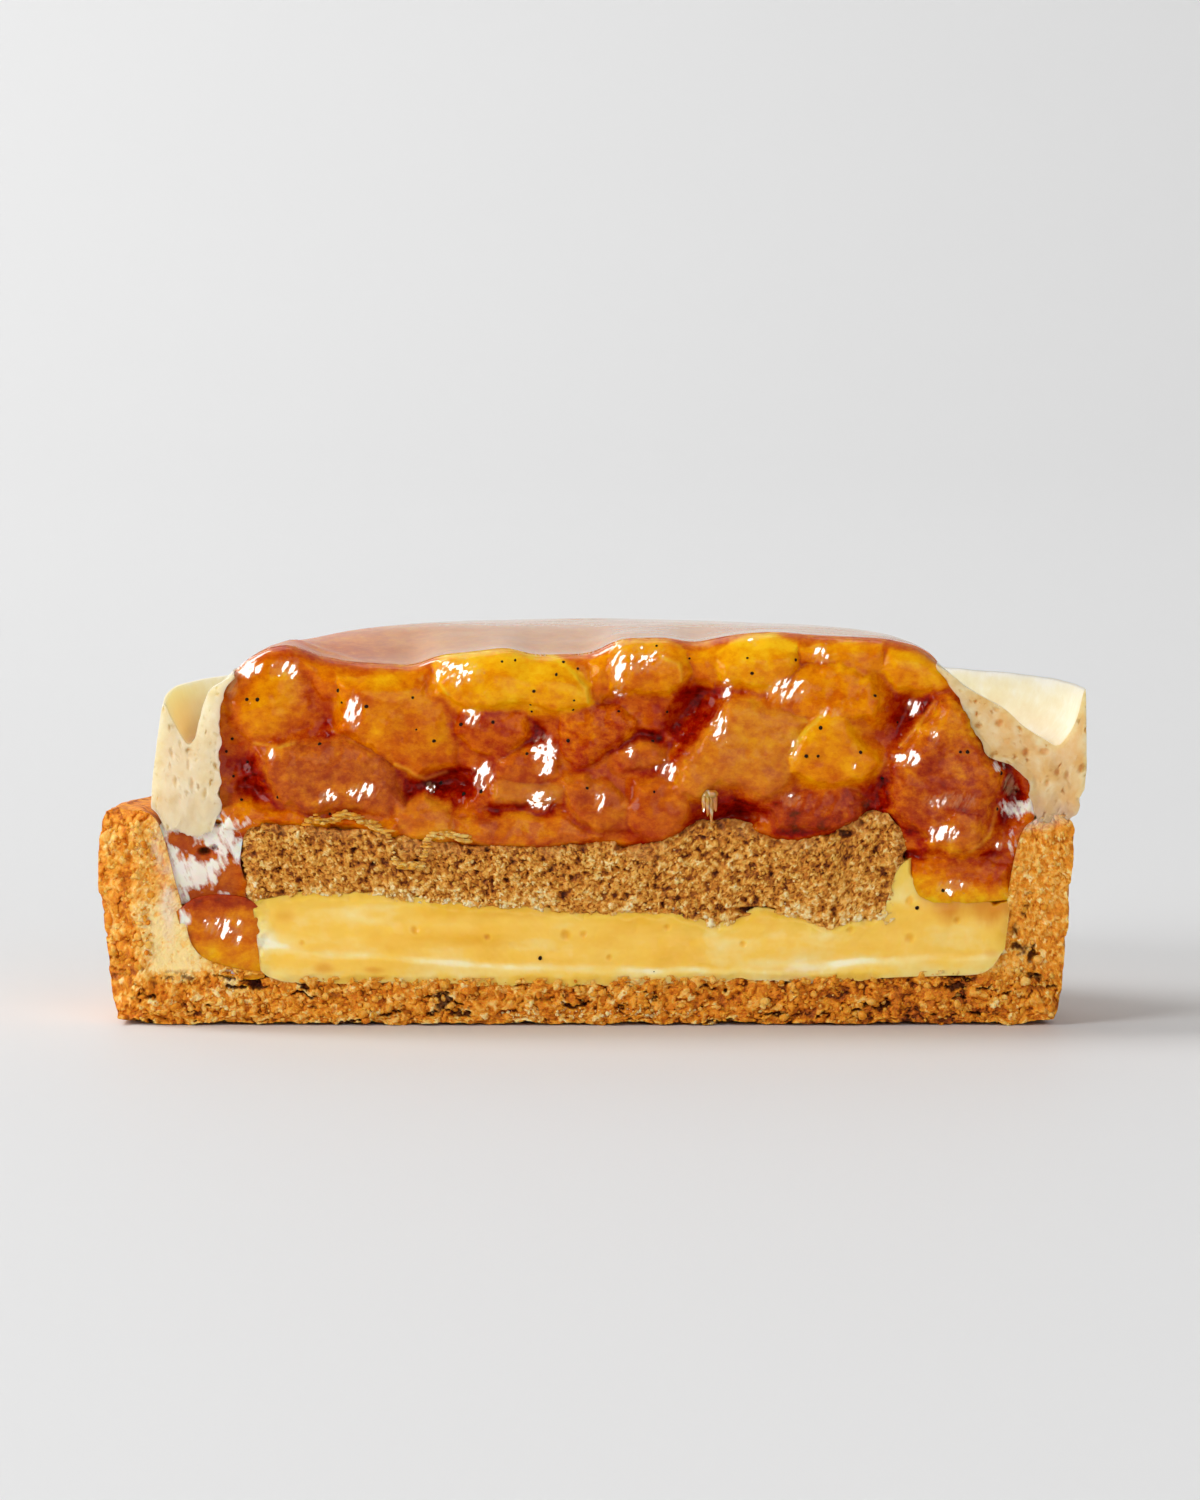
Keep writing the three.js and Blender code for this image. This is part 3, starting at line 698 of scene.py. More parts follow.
def crumb(flat, coarse, fine, seed):
    """Broken crumb on the cut: how far it stands out in millimetres, and the random numbers of its grains."""
    warp = wander(flat, 0.7 * coarse, (seed + 50, seed + 60))
    clumps = ease(-0.3, 0.3, rough(flat + 0.3 * coarse * warp, 0.8 * coarse, seed + 70, 4, 0.65))
    mounds, own = pile(flat + 0.5 * coarse * warp, coarse, seed)
    torn = wander(flat, 0.8 * fine, (seed + 80, seed + 90), 2)
    bits, own_bit = pile(flat + 0.7 * fine * (warp + torn), fine, seed + 20, 1)
    return coarse * (0.3 * clumps + 0.2 * mounds - 0.23) + fine * (0.55 * bits - 0.22), own, own_bit


LEFT_SIDE = [(0, 38.2), (1.2, 39.9), (6, 40.6), (11.5, 41.2), (14.8, 41.3), (17.4, 41), (18.3, 39.8)]  # z, radius
CHIP_WIDTH = 3  # of the rounded left front corner, where the baked outside shows
CHIP_DEPTH = 2.6
CHIP_REACH = 2.6  # how much further in the chip's relief reaches than the cut's
CUT_REACH = 1.6  # how far in the cut's relief reaches
CREVICE_DEPTH, HOLE_DEPTH = 0.7, 0.8
FACE_TOAST, SHELL_TOAST = 0.4, 0.46  # browning of the cut and of the baked outside, from 0 for pale to 1
# Holes in the wall's cut, and cream smeared on it: x, height, half width, half height, amount.
WALL_HOLES = [
    (37.1, 6.5, 0.8, 0.4, 0.9), (38.2, 5.9, 0.4, 0.8, 0.9), (36.6, 7.9, 0.4, 0.6, 0.7),
    (35.3, 6.4, 0.6, 0.3, 0.7), (38, 11.4, 0.5, 0.2, 0.6), (37.5, 9.8, 0.2, 0.4, 0.6), (38.6, 4.2, 0.7, 0.3, 0.7),
]
WALL_SMEARS = [
    (38, 17.8, 3.2, 0.9, 0.9), (36.6, 15.8, 0.5, 1.6, 0.5), (-35.4, 11, 0.8, 3.6, 1),
    (-36.2, 15.4, 0.7, 2.2, 0.9),
]


def case_face(flat):
    """The pastry's cut face: how far back it lies, how far in that reaches, its toasting with painted shade in low
    crumb, pits painted dark as shade, and smears.
    """
    x, z = flat.T
    left = x < 0
    wall = ease(31.5, 35, np.abs(x)) * ease(3, 6, z)
    even = wall * np.where(left, 0.6, 1)
    corner = left * ease(30.5, 33, -x) * ease(38.4, 36.2, -x) * ease(12, 8.5, z) * ease(3.4, 5.2, z)
    loose, own, own_bit = crumb(flat, 1.15, 0.45, 11)
    fine, own_fine, own_fine_bit = crumb(flat, 0.6, 0.3, 12)
    height = (loose + even * (0.8 * fine - loose)) * (1 - 0.7 * corner)
    own, own_bit = own + even * (own_fine - own), own_bit + even * (own_fine_bit - own_bit)
    ragged = flat + 0.35 * wander(flat, 0.8, (96, 97), 3, 0.6)
    cracks = rough(ragged * [0.5, 1.2], 1, 91, 4, 0.6)
    crevice = np.clip(cracks * 10 - 3.5, 0, 1) * ease(5.2, 4.4, z) * (1 - corner)
    hole = spots(2 * ragged - flat, WALL_HOLES, 92, 0.8, 0.5)
    relief = 0.15 - height + CREVICE_DEPTH * crevice + HOLE_DEPTH * hole + 0.25 * rough(flat, 4, 93)

    from_side = read_off(LEFT_SIDE, z) + x
    wide = CHIP_WIDTH + 0.8 * rough(flat * [0, 1], 2.5, 16) + 0.6 * rough(flat, 1.1, 17)
    wide = wide + 0.8 * ease(15.5, 18, z)
    chip = left * np.clip(1 - np.maximum(from_side, 0) / wide, 0, 1) ** 1.2 * ease(-0.5, 2.5, z)
    skin = ease(0.03, 0.2, chip)
    blister, own_blister = pile(ragged, 0.8, 98)
    blistered = skin * (0.4 * (blister - 0.4) + 0.3 * rough(flat, 2, 99))
    relief = relief * (1 - 0.5 * skin) + CHIP_DEPTH * chip - blistered
    groove = 0.5 * np.exp(-(((from_side - 0.85 * wide) / 0.25) ** 2))
    relief = relief + groove * left * ease(-0.1, 0.3, rough(flat, 1.5, 89))

    base = ease(5.5, 3.5, z)
    toast_and_shade = FACE_TOAST + 0.06 * base + 0.18 * ease(-5, 25, x) * base - 0.03 * wall - 0.3 * corner + 0.1 * skin
    toast_and_shade = toast_and_shade - 0.14 * ease(31, 36, x) * base
    toast_and_shade = toast_and_shade - 0.12 * left * wall * (1 - skin)
    toast_and_shade = toast_and_shade + skin * (0.3 * rough(flat, 1.3, 88, 3) - 0.25 * (own_blister - 0.5))
    # Crumb that stands forward is painted paler and crumb that lies back browner: painted shade.
    toast_and_shade = toast_and_shade - 0.5 * height - 0.12 * (own - 0.5) - 0.3 * (own_bit - 0.5) - 0.15 * ease(0.84, 0.9, own_bit)
    # Crevices, holes and low crumb are marked for dark brown: painted shade.
    shaded_pit = np.clip(0.9 * crevice + hole + ease(-0.2, -0.5, height) * 0.6, 0, 1) * (1 - 0.7 * skin)
    smear = spots(flat, WALL_SMEARS, 94, 0.9) * (0.6 + 0.8 * rough(flat, 0.8, 95, 4))
    return relief, CUT_REACH + CHIP_REACH * ease(0, 0.4, chip), toast_and_shade, shaded_pit, np.clip(smear, 0, 1)


def make_case():
    body = HalfTurn(CASE, cut_spacing=0.11, body_spacing=0.42, turns=300)
    points = body.points
    x, y, z = points.T
    flat = cut_plane(points)
    radius = np.hypot(x, y)
    near_cut = np.exp(-np.maximum(y, 0) / 1.5)
    relief, reach, toast_and_shade, shaded_pit, smear = case_face(flat)

    outer = ease(37.6, 40.8, radius) * ease(0.2, 1.5, z)
    grain, _ = pile(points, 0.9, 5)
    bumps = 0.14 * (grain - 0.4) + 0.2 * rough(points, 9, 8) + 0.14 * rough(points, 1.6, 9)
    bulge = (x < 0) * np.exp(-(((z - 13) / 2.2) ** 2)) * np.exp(-y / 4)
    bulge = bulge * (0.4 + 0.25 * rough(flat * [0, 1], 0.7, 18))
    scale = 1 + outer * (bumps + bulge) / np.maximum(radius, 1)
    moved = points * np.stack([scale, scale, np.ones(len(points))], axis=-1)
    rim = ease(16.4, 18, z) * ease(33, 35, radius)
    moved[:, 2] += rim * (0.22 * rough(points, 2.4, 25) + (x < 0) * 0.4 * ease(39, 41, radius))
    moved[:, 0] = np.clip(moved[:, 0], *[end[0] / MM - AXIS[0] for end in cad_box])
    lifted = 0.22 + 0.3 * rough(flat * [1, 0], 1.6, 35, 4)
    moved[:, 2] += np.exp(-np.maximum(y, 0) / 3) * ease(1.2, 0, z) * np.clip(lifted, 0, 0.5)
    moved[:, 2] = np.maximum(moved[:, 2], 0)
    moved = pushed_back(moved, relief, reach)

    shell = SHELL_TOAST + 0.16 * ease(15, 18, z) + 0.1 * ease(2, 0, z)
    shell = shell - 0.22 * (grain - 0.4) + 0.1 * rough(points, 1.4, 19)
    toast_and_shade = shell + (toast_and_shade - shell) * body.cuts
    attributes = {"toast_and_shade": toast_and_shade, "shaded_pit": shaded_pit * near_cut * body.cuts, "smear": smear * near_cut}
    piece = make_object("pastry_crumb_case", moved, body.triangles, pastry_material(), attributes)
    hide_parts("pastry_case")


# ---- Custard ----

# A low step along the custard's cut: x, height.
LEDGE = [(-28, 7.2), (-22, 6.3), (-14, 5.6), (-2, 5), (9, 4.8), (16, 4.9), (23, 5.6), (34, 6)]
# Bubbles in the custard's cut: x, height, size.
BUBBLES = [
    (-1.5, 7.8, 0.5), (0, 7.8, 0.3), (2.2, 5.8, 0.3), (-8.2, 7.6, 0.3), (-14.4, 8.2, 0.35), (7.1, 8.4, 0.3),
    (27.8, 7.5, 0.45), (22.7, 8.2, 0.35), (27.8, 10.7, 0.4), (-24, 7.1, 0.25), (13.6, 7, 0.3), (31.8, 9, 0.3),
]
# Stains of caramel and pale places on the custard's cut: x, height, half width, half height, amount.
AMBER = [
    (36, 8.6, 0.8, 2.6, 0.45), (-22.1, 4.9, 0.9, 0.5, 0.5), (-17.9, 4.8, 0.8, 0.3, 0.6),
    (-25.3, 9.4, 0.8, 0.5, 0.35), (34.8, 6.2, 0.8, 0.4, 0.4), (18, 4.8, 3, 0.3, 0.25), (-6, 9.6, 4, 0.4, 0.2),
]
CUSTARD_PALE = [(15, 6.6, 6, 2.4, 1.2), (21, 7.6, 2.4, 0.6, 1), (-27, 8.4, 1, 2, 0.8), (-8, 9.4, 3, 0.5, 0.5)]


def make_custard():
    body = HalfTurn(CUSTARD, cut_spacing=0.17, body_spacing=1.2, turns=60)
    moved, inside = fitted(body, CUSTARD_FOOT, SPONGE_FOOT, (-26, 25.5))
    flat = cut_plane(moved)
    x, z = flat.T
    sweep = smooth(flat / [9, 1], 1.1, 3)
    edge = read_off(LEDGE, x) + 0.15 * smooth(flat * [1, 0], 3, 4)
    ledge = ease(0.3, -0.35, z - edge)
    relief = 0.1 * sweep - 0.15 * ledge + 0.14 * rough(flat, 3, 9) + 0.06 * rough(flat, 0.9, 10)
    bubbles = np.zeros(len(flat))
    for bx, bz, size in BUBBLES:
        bubbles = np.maximum(bubbles, ease(1.2 * size, 0.3 * size, np.hypot(x - bx, z - bz)))
    pale = spots(flat, CUSTARD_PALE, 5, 0.9)
    # A thin broken line along the ledge's edge is painted lighter: a painted highlight.
    painted_ledge_highlight = np.exp(-(((z - edge) / 0.3) ** 2)) * (1 - ease(6, 4, np.abs(x - 16)))
    painted_ledge_highlight = painted_ledge_highlight * (0.6 + 0.8 * rough(flat * [1, 0], 2.4, 14, 3))
    streak = rough(flat * [0.3, 1], 1.2, 11, 3) + 0.5 * rough(flat, 1.1, 15, 4, 0.7)
    # Bubbles are painted darker: painted shade.
    tone = 0.52 + 0.12 * sweep + 0.2 * streak + 0.16 * ledge - 0.3 * bubbles + 0.2 * pale + 0.3 * painted_ledge_highlight
    tone = tone + 0.12 * ease(0.9, 0.1, inside) * rough(flat, 0.7, 12) + 0.1 * ease(-26.2, -27.6, x)
    below_jelly = read_off(JELLY_FOOT, x) - z + 0.9 * rough(flat * [1, 0.3], 1.3, 16, 4, 0.6)
    runny = ease(2.6, 0.3, below_jelly) * ease(28, 29.4, x)
    stain = np.maximum(spots(flat, AMBER, 6, 0.9), runny)
    behind = 1.3 * ease(0, -0.45, below_jelly) * ease(27.6, 28.4, x)
    ends = 0.7 * ease(-26.4, -28, x) * rough(flat, 0.9, 13, 3)
    moved = pushed_back(moved, relief + 0.15 * bubbles + tuck_in(inside, 0.3) + 0.02 + ends + behind, 2)
    piece = make_object("custard_layer", moved, body.triangles, custard_material(), {"tone": tone, "stain": stain})
    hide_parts("custard")


# ---- Sponge ----

# Gaps in the sponge's cut: x, height, half width, half height, depth share.
SPONGE_GAPS = [
    (-20.5, 17.1, 3, 0.35, 1), (-12, 16.2, 0.9, 0.45, 1), (-3.6, 16.5, 1, 0.8, 1), (14, 9.9, 2.2, 0.3, 0.7),
    (-9.3, 15.6, 1.4, 0.25, 0.7), (3.4, 15.4, 0.8, 0.4, 0.7), (21.6, 16.4, 1.6, 0.3, 0.6),
]


def sponge_face(flat):
    """The sponge's cut face: how far each point lies back, its tone with painted shade in low crumb, pores and
    gaps, and where it has soaked up jelly.
    """
    height, own, own_bit = crumb(flat, 0.54, 0.25, 31)
    near, own_pore = grains(flat + 0.2 * rough(flat, 0.5, 36)[:, None], 1.1, 33)
    pore = ease(0.38, 0.1, near) * (own_pore > 0.45)
    gap = spots(flat, SPONGE_GAPS, 34, 0.6, 0.6)
    relief = 0.12 - 1.15 * height + 0.3 * pore + 1.1 * gap + 0.15 * rough(flat, 3, 35)
    foot, head = (read_off(edge, flat[:, 0]) for edge in (SPONGE_FOOT, SPONGE_TOP))
    low = ease(2.4, 0.3, flat[:, 1] - foot) * ease(-0.25, 0.25, rough(flat, 1.6, 37))
    soaked = ease(1.6, 0, head - flat[:, 1] + 2.2 * rough(flat, 1.5, 38, 3) + 0.4)
    # Crumb that stands forward is painted lighter, and low crumb, pores and gaps darker: painted shade.
    tone = 0.5 + 1.3 * height + 0.14 * (own - 0.5) + 0.3 * (own_bit - 0.5) + 0.24 * low - 0.7 * gap - 0.25 * pore
    return relief, tone, 0.5 * soaked * (1 - gap)


def make_sponge():
    body = HalfTurn(SPONGE, cut_spacing=0.085, body_spacing=1, turns=60)
    ragged = body.cuts * 0.9 * rough(cut_plane(body.points) * [0, 1], 1.4, 39, 4, 0.6)
    body.points[:, 0] += ragged * ease(24, 29, np.abs(body.points[:, 0]))
    moved, inside = fitted(body, SPONGE_FOOT, SPONGE_TOP, (-28, 26))
    relief, tone, soaked = sponge_face(cut_plane(moved))
    ends = 0.6 * ease(-27.6, -29.4, moved[:, 0]) + 0.5 * ease(26, 27.5, moved[:, 0])
    moved = pushed_back(moved, relief + tuck_in(inside) + ends, 1.6)
    soaked = np.maximum(soaked, 0.5 * ends) * body.cuts
    attributes = {"tone": tone, "soaked": soaked}
    piece = make_object("sponge_crumb_disc", moved, body.triangles, sponge_material(), attributes)
    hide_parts("sponge_disc")


# ---- Apple filling ----

# Apple dice on the cut: outline, how far each stands in front of the cut plane, how its face leans in x and z,
# the width of its rounded shoulder, and its glow from dark red to yellow, paleness and fibres.
DICE = [
    ([(-30.9, 27.7), (-29.4, 30.1), (-27.4, 31.7), (-25, 32.1), (-23.3, 31.1), (-22.6, 28.7), (-22.8, 26),
      (-25.5, 24.6), (-28.1, 24.2), (-30.4, 25.7)], 0.3, (0.02, 0.06), 4, 0.62, 0, 0.2),
    ([(-24.1, 31.5), (-20.3, 30.8), (-14.3, 30.4), (-12.6, 29.4), (-13.1, 27.7), (-17.3, 27.9), (-22, 27.9)],
      0.45, (0, 0.05), 3, 0.54, 0, 0.1),
    ([(-20.9, 29.9), (-20.7, 24.9), (-17.4, 23.2), (-15.8, 22.1), (-14, 21.2), (-11.2, 22.3), (-10.5, 24.2),
      (-11.6, 27.9), (-13.5, 29.4), (-17.3, 29.9)], 1.0, (0.12, -0.02), 2.6, 0.56, 0, 0.2),
    ([(-26.9, 23), (-26.2, 23.8), (-23.5, 24.1), (-20.1, 24.1), (-17.4, 23.2), (-16, 21.8), (-15.3, 19.2),
      (-16.8, 17.9), (-21.8, 18.5), (-23.5, 18.1), (-25.5, 19), (-26.7, 21.5)],
      1.1, (0.06, -0.1), 1.8, 0.42, 0.2, 0.9),
    ([(-12.5, 28.6), (-11, 27.5), (-8.2, 27.3), (-5.4, 27.8), (-2.3, 26.9), (0.5, 27.7), (0.3, 29.1), (-2, 30.9),
      (-5.4, 31.8), (-9.3, 32), (-12.2, 31.1)], 1.35, (0.02, 0.1), 1.5, 0.78, 0, 0.35),
    ([(-10.5, 27.1), (-7.1, 26.9), (-4.8, 26.5), (-4.8, 24.7), (-6.7, 23), (-9.3, 23.5), (-10.7, 24.9)],
      0.6, (0.05, 0), 2, 0.42, 0, 0.5),
    ([(-7.1, 22.8), (-4.6, 23.5), (-2.3, 22.8), (-2, 21.2), (-5.4, 20.8), (-7.3, 21.2)],
      0.5, (0, -0.1), 1.3, 0.42, 0.1, 0.5),
    ([(-7.4, 20.7), (-3.7, 20.9), (-1.4, 20.2), (-2, 19.2), (-5.4, 19.3), (-7.6, 19.6)],
      0.4, (0, 0.1), 0.9, 0.5, 0.4, 0.5),
    ([(-16, 19.1), (-13.5, 19.6), (-11.6, 18.4), (-10.5, 16.4), (-12.2, 15.1), (-14.8, 15.6), (-16.1, 17.3)],
      0.5, (0, 0.1), 1.5, 0.58, 0.2, 0.6),
    ([(-1.6, 20.7), (0.1, 21.5), (2.4, 20.4), (4.2, 19), (3.9, 17), (1.4, 16.7), (-0.8, 18.1)],
      0.7, (0.1, 0), 1.4, 0.48, 0.15, 0.5),
    ([(-2, 27.2), (0.5, 27.5), (3.5, 27.2), (4.8, 25.8), (3.1, 24.3), (1.4, 22.4), (-0.8, 21.9), (-2, 24.1)],
      0.5, (0, 0), 2.2, 0.46, 0, 0.9),
    ([(0.3, 31.1), (2.4, 32), (2.6, 28.7), (1.5, 27.4), (0.7, 27.9)], 0.5, (0, 0), 2, 0.6, 0, 0.2),
    ([(1.9, 31.7), (3.2, 32.8), (6.5, 33), (8.6, 32), (9, 30), (7.5, 28.6), (4.8, 28.4), (2.4, 28.9)],
      1.1, (0, 0.1), 2, 0.64, 0, 0.3),
    ([(8.8, 32.1), (11.1, 32.5), (11.7, 30.4), (10.9, 28.9), (9.4, 29.4)], 0.3, (0, 0), 2, 0.6, 0, 0.2),
    ([(11, 31.7), (12.8, 33), (15.8, 33.5), (18, 32.8), (18.2, 30.6), (16.7, 29.1), (13.7, 29.1), (11.6, 29.6)],
      1.1, (0, 0.1), 1.8, 0.74, 0, 0.4),
    ([(18.2, 32.8), (21.8, 32.8), (25.6, 32.5), (25.5, 30.6), (23.6, 29.9), (21.6, 30.9), (18.4, 30.9)],
      0.5, (0, 0.05), 2, 0.64, 0, 0.1),
    ([(15.3, 27.3), (16, 29.1), (18.4, 30.4), (21.8, 30.9), (24.1, 29.7), (25.2, 27.9), (24.5, 26.2),
      (21.3, 26.5), (18.4, 26.5)], 1.2, (-0.12, 0.1), 1.3, 0.6, 0, 0.3),
    ([(25.2, 30.3), (26.2, 32), (28.6, 31.8), (30.7, 30.4), (31.1, 29.1), (29, 28.6), (26.4, 29)],
      0.3, (0.1, 0.1), 2, 0.68, 0, 0.1),
    ([(12.1, 27.5), (13.9, 28), (16.7, 27.2), (19, 26.1), (18.2, 24.7), (17.3, 23.4), (17.4, 21.2), (16.7, 20.1),
      (15.3, 19.8), (13.2, 20.9), (11.5, 20.4), (9.9, 19.6), (8.2, 20.1), (8.5, 22.3), (9.9, 24.2), (11, 25.8)],
      1.6, (0.03, 0.05), 1.2, 0.57, 0.25, 0.5),
    ([(21, 27.2), (22.1, 26.4), (23.2, 24.7), (24.7, 23.4), (24.8, 22.3), (23.7, 20.9), (21.2, 20.5),
      (18.5, 21.3), (17.3, 21.8), (17.2, 23.1), (18.5, 24.7), (19.6, 26.1)], 1.7, (0, 0), 1.1, 0.68, 0, 0.15),
    ([(4.8, 20.7), (6.5, 21.4), (8.5, 20.7), (9, 18.5), (8.6, 16.4), (6.9, 15.5), (4.9, 16.2), (3.9, 18.1)],
      1.1, (0, 0), 1.8, 0.42, 0.1, 0.3),
    ([(3.1, 23.5), (4.8, 24.3), (6.8, 23.6), (7.1, 22.4), (5.2, 21.8), (3.5, 22.1)],
      0.4, (0, 0), 1.2, 0.46, 0.2, 0.4),
    ([(30.2, 28), (31.3, 27.9), (32.9, 26.4), (33.5, 24.7), (34.5, 23.1), (35.6, 21.8), (35.1, 19.6),
      (34.3, 17.4), (34, 15.2), (32.1, 14.7), (29.9, 15.5), (27.8, 17.4), (26.2, 18.8), (26.4, 21.2),
      (25.8, 22.3), (27.5, 23.9), (29.2, 26.1)], 1.3, (0.1, 0.02), 1.8, 0.43, 0.08, 0.9),
    ([(29.6, 15.6), (30, 17.2), (31.6, 18.4), (33.6, 18), (34.2, 16.2), (33, 15), (31, 14.8)],
      1.5, (0.05, 0.1), 1.2, 0.6, 0.15, 0.8),
    ([(15.6, 19.2), (18.4, 20), (21.8, 20.2), (24, 19.4), (23.5, 17.3), (20.1, 16.7), (16.7, 17)],
      0.6, (0, 0.1), 1.5, 0.3, 0.1, 0.9),
    ([(27.9, 14.1), (30.3, 14.5), (34.1, 14.3), (36.4, 13.6), (36.5, 10.5), (34.5, 9.5), (31.1, 9.9),
      (28.1, 10.7)], 0.15, (0, 0.02), 2.2, 0.56, 0, 0.5),
    ([(-30.8, 18.9), (-28.4, 18.9), (-24.1, 17.9), (-21.6, 17.5), (-21.6, 16.7), (-30.5, 16.7)],
      0.35, (0, 0.1), 1.2, 0.55, 0, 0.4),
    ([(-21.2, 17.5), (-16.1, 17.5), (-16, 16.2), (-20.3, 16.3)], 0.3, (0, 0), 0.8, 0.5, 0, 0.6),
    ([(-11, 17.5), (-5.4, 18.1), (-2, 17.7), (1.4, 16.2), (-2, 15.1), (-10.5, 15.3)],
      0.2, (0, 0.1), 1.2, 0.5, 0.15, 0.7),
]
# Hollows of deep jelly between the dice: x, height, half width, half height, depth.
HOLLOWS = [
    (-27.4, 20.4, 2.2, 1.3, 1.8), (-29, 22.4, 1.7, 1.2, 0.9), (-5.4, 24.7, 1.9, 1.4, 2),
    (-12.2, 20.5, 2.9, 1.7, 2.6), (-4.8, 18.7, 2.9, 0.9, 3), (9.6, 27.2, 2.7, 3.1, 2.6),
    (27.3, 27.2, 2.0, 2.4, 2.2), (11.9, 18.2, 3.4, 1.2, 3.4), (4.8, 24.5, 1.9, 0.8, 2.4),
    (35.9, 19.8, 1.3, 2.4, 2.2), (31.1, 14.6, 3.6, 0.5, 1.8), (24.7, 19.9, 1.7, 1.4, 2.2),
    (7.7, 23.1, 1.2, 1.4, 1.4), (-32.3, 14.9, 0.5, 0.3, 1.6), (-31.5, 15.2, 0.3, 0.25, 1.4),
    (-31.2, 17.2, 0.7, 0.2, 2), (2.2, 24.1, 1.2, 0.9, 0.8), (-21.6, 24.9, 1.0, 2.2, 0.6),
    (13.7, 28.1, 0.9, 1.2, 1.2),
]
# Crinkled wet places that catch the light, with a pale sheen painted round them in the colour: x, height, half
# width, half height, amount.
CRINKLES = [
    (-28.6, 30.6, 1.1, 0.9, 1.3), (-30, 28.9, 0.6, 1.1, 1.2), (-25.1, 30.6, 1.1, 0.9, 1.1),
    (-19.5, 27.2, 0.8, 1.6, 1), (-26.5, 23.3, 0.4, 0.6, 1), (-21.6, 19.7, 0.9, 0.8, 1), (-18.5, 20, 1.5, 0.8, 1),
    (-10.8, 30.4, 2.0, 1.1, 1), (-12.4, 30.3, 0.3, 1.2, 1), (-9.4, 26.4, 0.8, 0.9, 1),
    (-3.3, 23.1, 1.1, 1.7, 1.2), (-8.6, 21.5, 0.9, 1.4, 1.2), (-13.1, 20.2, 0.4, 0.5, 1),
    (5.4, 31.3, 1.9, 1.2, 0.7), (3, 30.6, 0.9, 2.4, 1), (14.4, 32.9, 0.5, 0.4, 1), (17.2, 28.7, 2.0, 1.2, 1),
    (12.2, 28.7, 0.5, 1.0, 1), (20.1, 31.7, 0.9, 1.0, 1), (11.5, 25.6, 0.8, 1.7, 1), (17.5, 19.4, 0.9, 0.6, 1),
    (20.8, 26.9, 0.9, 0.4, 0.7), (18.1, 23.6, 0.6, 1.3, 0.6), (7.2, 21.9, 0.9, 0.8, 1.2),
    (4.1, 23.5, 0.6, 0.8, 1), (29.7, 25.1, 0.5, 0.9, 1.2), (27.6, 22.9, 1.4, 0.7, 1.3), (28.1, 27, 0.7, 0.8, 1),
    (31.4, 19.4, 2.4, 0.8, 0.75), (35.4, 15.4, 0.4, 0.5, 1), (22.9, 22.4, 0.3, 0.5, 0.8),
    (31.4, 11.9, 1.6, 0.7, 0.75), (36.2, 20.4, 0.8, 1.0, 1), (-3.7, 19.4, 1.3, 0.9, 1.2),
    (30.7, 16.5, 1.1, 0.9, 1.1), (1.4, 19.4, 0.5, 1.2, 1),
]
# White film that the cream leaves on the jelly, and the openings in it.
FILM = [
    (-33.6, 17, 3.6, 1.6, 1.3), (-31, 16.4, 1.6, 1.6, 1.1), (-30.6, 15.4, 2.6, 1, 1), (-29.2, 15, 1.8, 1.4, 0.95),
    (-33.4, 13, 3, 1.4, 1.2), (-34.9, 13.6, 1.1, 4.2, 1), (-34.4, 9.8, 0.9, 3, 0.85),
    (-31.4, 13.4, 1.6, 1.2, 0.8), (-30.6, 11, 0.8, 0.7, 0.4), (-29, 17.4, 1.4, 0.6, 0.55),
    (38.1, 18.8, 2.2, 0.8, 1), (36.9, 18.3, 1.4, 0.7, 0.8), (36.6, 15.2, 0.5, 1.4, 0.5),
    (35.4, 22.2, 0.6, 0.5, 0.5),
]
FILM_OPENINGS = [
    (-34.2, 16, 1, 0.8, 1), (-32.3, 14.8, 0.9, 0.6, 1), (-31.2, 17.4, 0.7, 0.25, 1), (-30.2, 12.6, 0.9, 1, 0.7),
]
JELLY_BACK = 0.6  # how far the jelly lies behind the cut plane
# Where the jelly thins out over the custard at the right, and where the jelly's colour runs into the custard.
JELLY_FOOT = [(26.9, 14.1), (28.1, 12.8), (29.3, 12.1), (30.8, 11), (33, 11.1), (34.6, 10.5), (36.7, 10.6)]
SHOULDER = 0.5  # how deep a dice's rounded shoulder is, as a share of its width
CUT_GLOSS = 0.06  # how glossy the cut face is beside the glaze on top and the wet crinkles
FILLET = 1.1  # how far apart two faces may be for the jelly to bridge them
COLOUR_BLEND = 0.4  # the same for their colours
GRAIN_TURN = 2.4  # radians between the ways that the fibres of two dice run
JELLY_GLOW, DARKEST_GLOW = 0.45, 0.2  # of the jelly between the dice, and in its deepest hollows
FOLD_WIDTH, FOLD_HEIGHT = 0.17, 0.16
DOME_TOP = 33.74  # highest that the dome may stand
# Thin folds of skin on the cut, each a line of (x, height) points, each painted lighter along its ridge as a
# painted highlight.
FOLDS = [
    [(-3.4, 31.9), (-2.3, 31.3), (-0.9, 30.2), (0.2, 29), (0.4, 27.8)],
    [(-28, 24.2), (-25.8, 23.9), (-24.6, 24.2)], [(17.5, 23.6), (19, 25.4), (20.4, 26.9)],
    [(-12.8, 31), (-12.5, 29.6), (-11.6, 28.4)], [(6.6, 31.6), (8.1, 30.9), (8.3, 29.6)],
    [(26.9, 24), (28.6, 25.9), (29.8, 27.8)], [(-16, 22.4), (-13.4, 21), (-11.8, 21.6)],
    [(32.8, 14.9), (34.6, 16.2), (35.2, 18.6)],
]


def segment_distance(flat, a, b):
    """Distance to the straight line from a to b."""
    along = np.clip(((flat - a) @ (b - a)) / ((b - a) @ (b - a)), 0, 1)
    return np.linalg.norm(flat - a - along[:, None] * (b - a), axis=1)


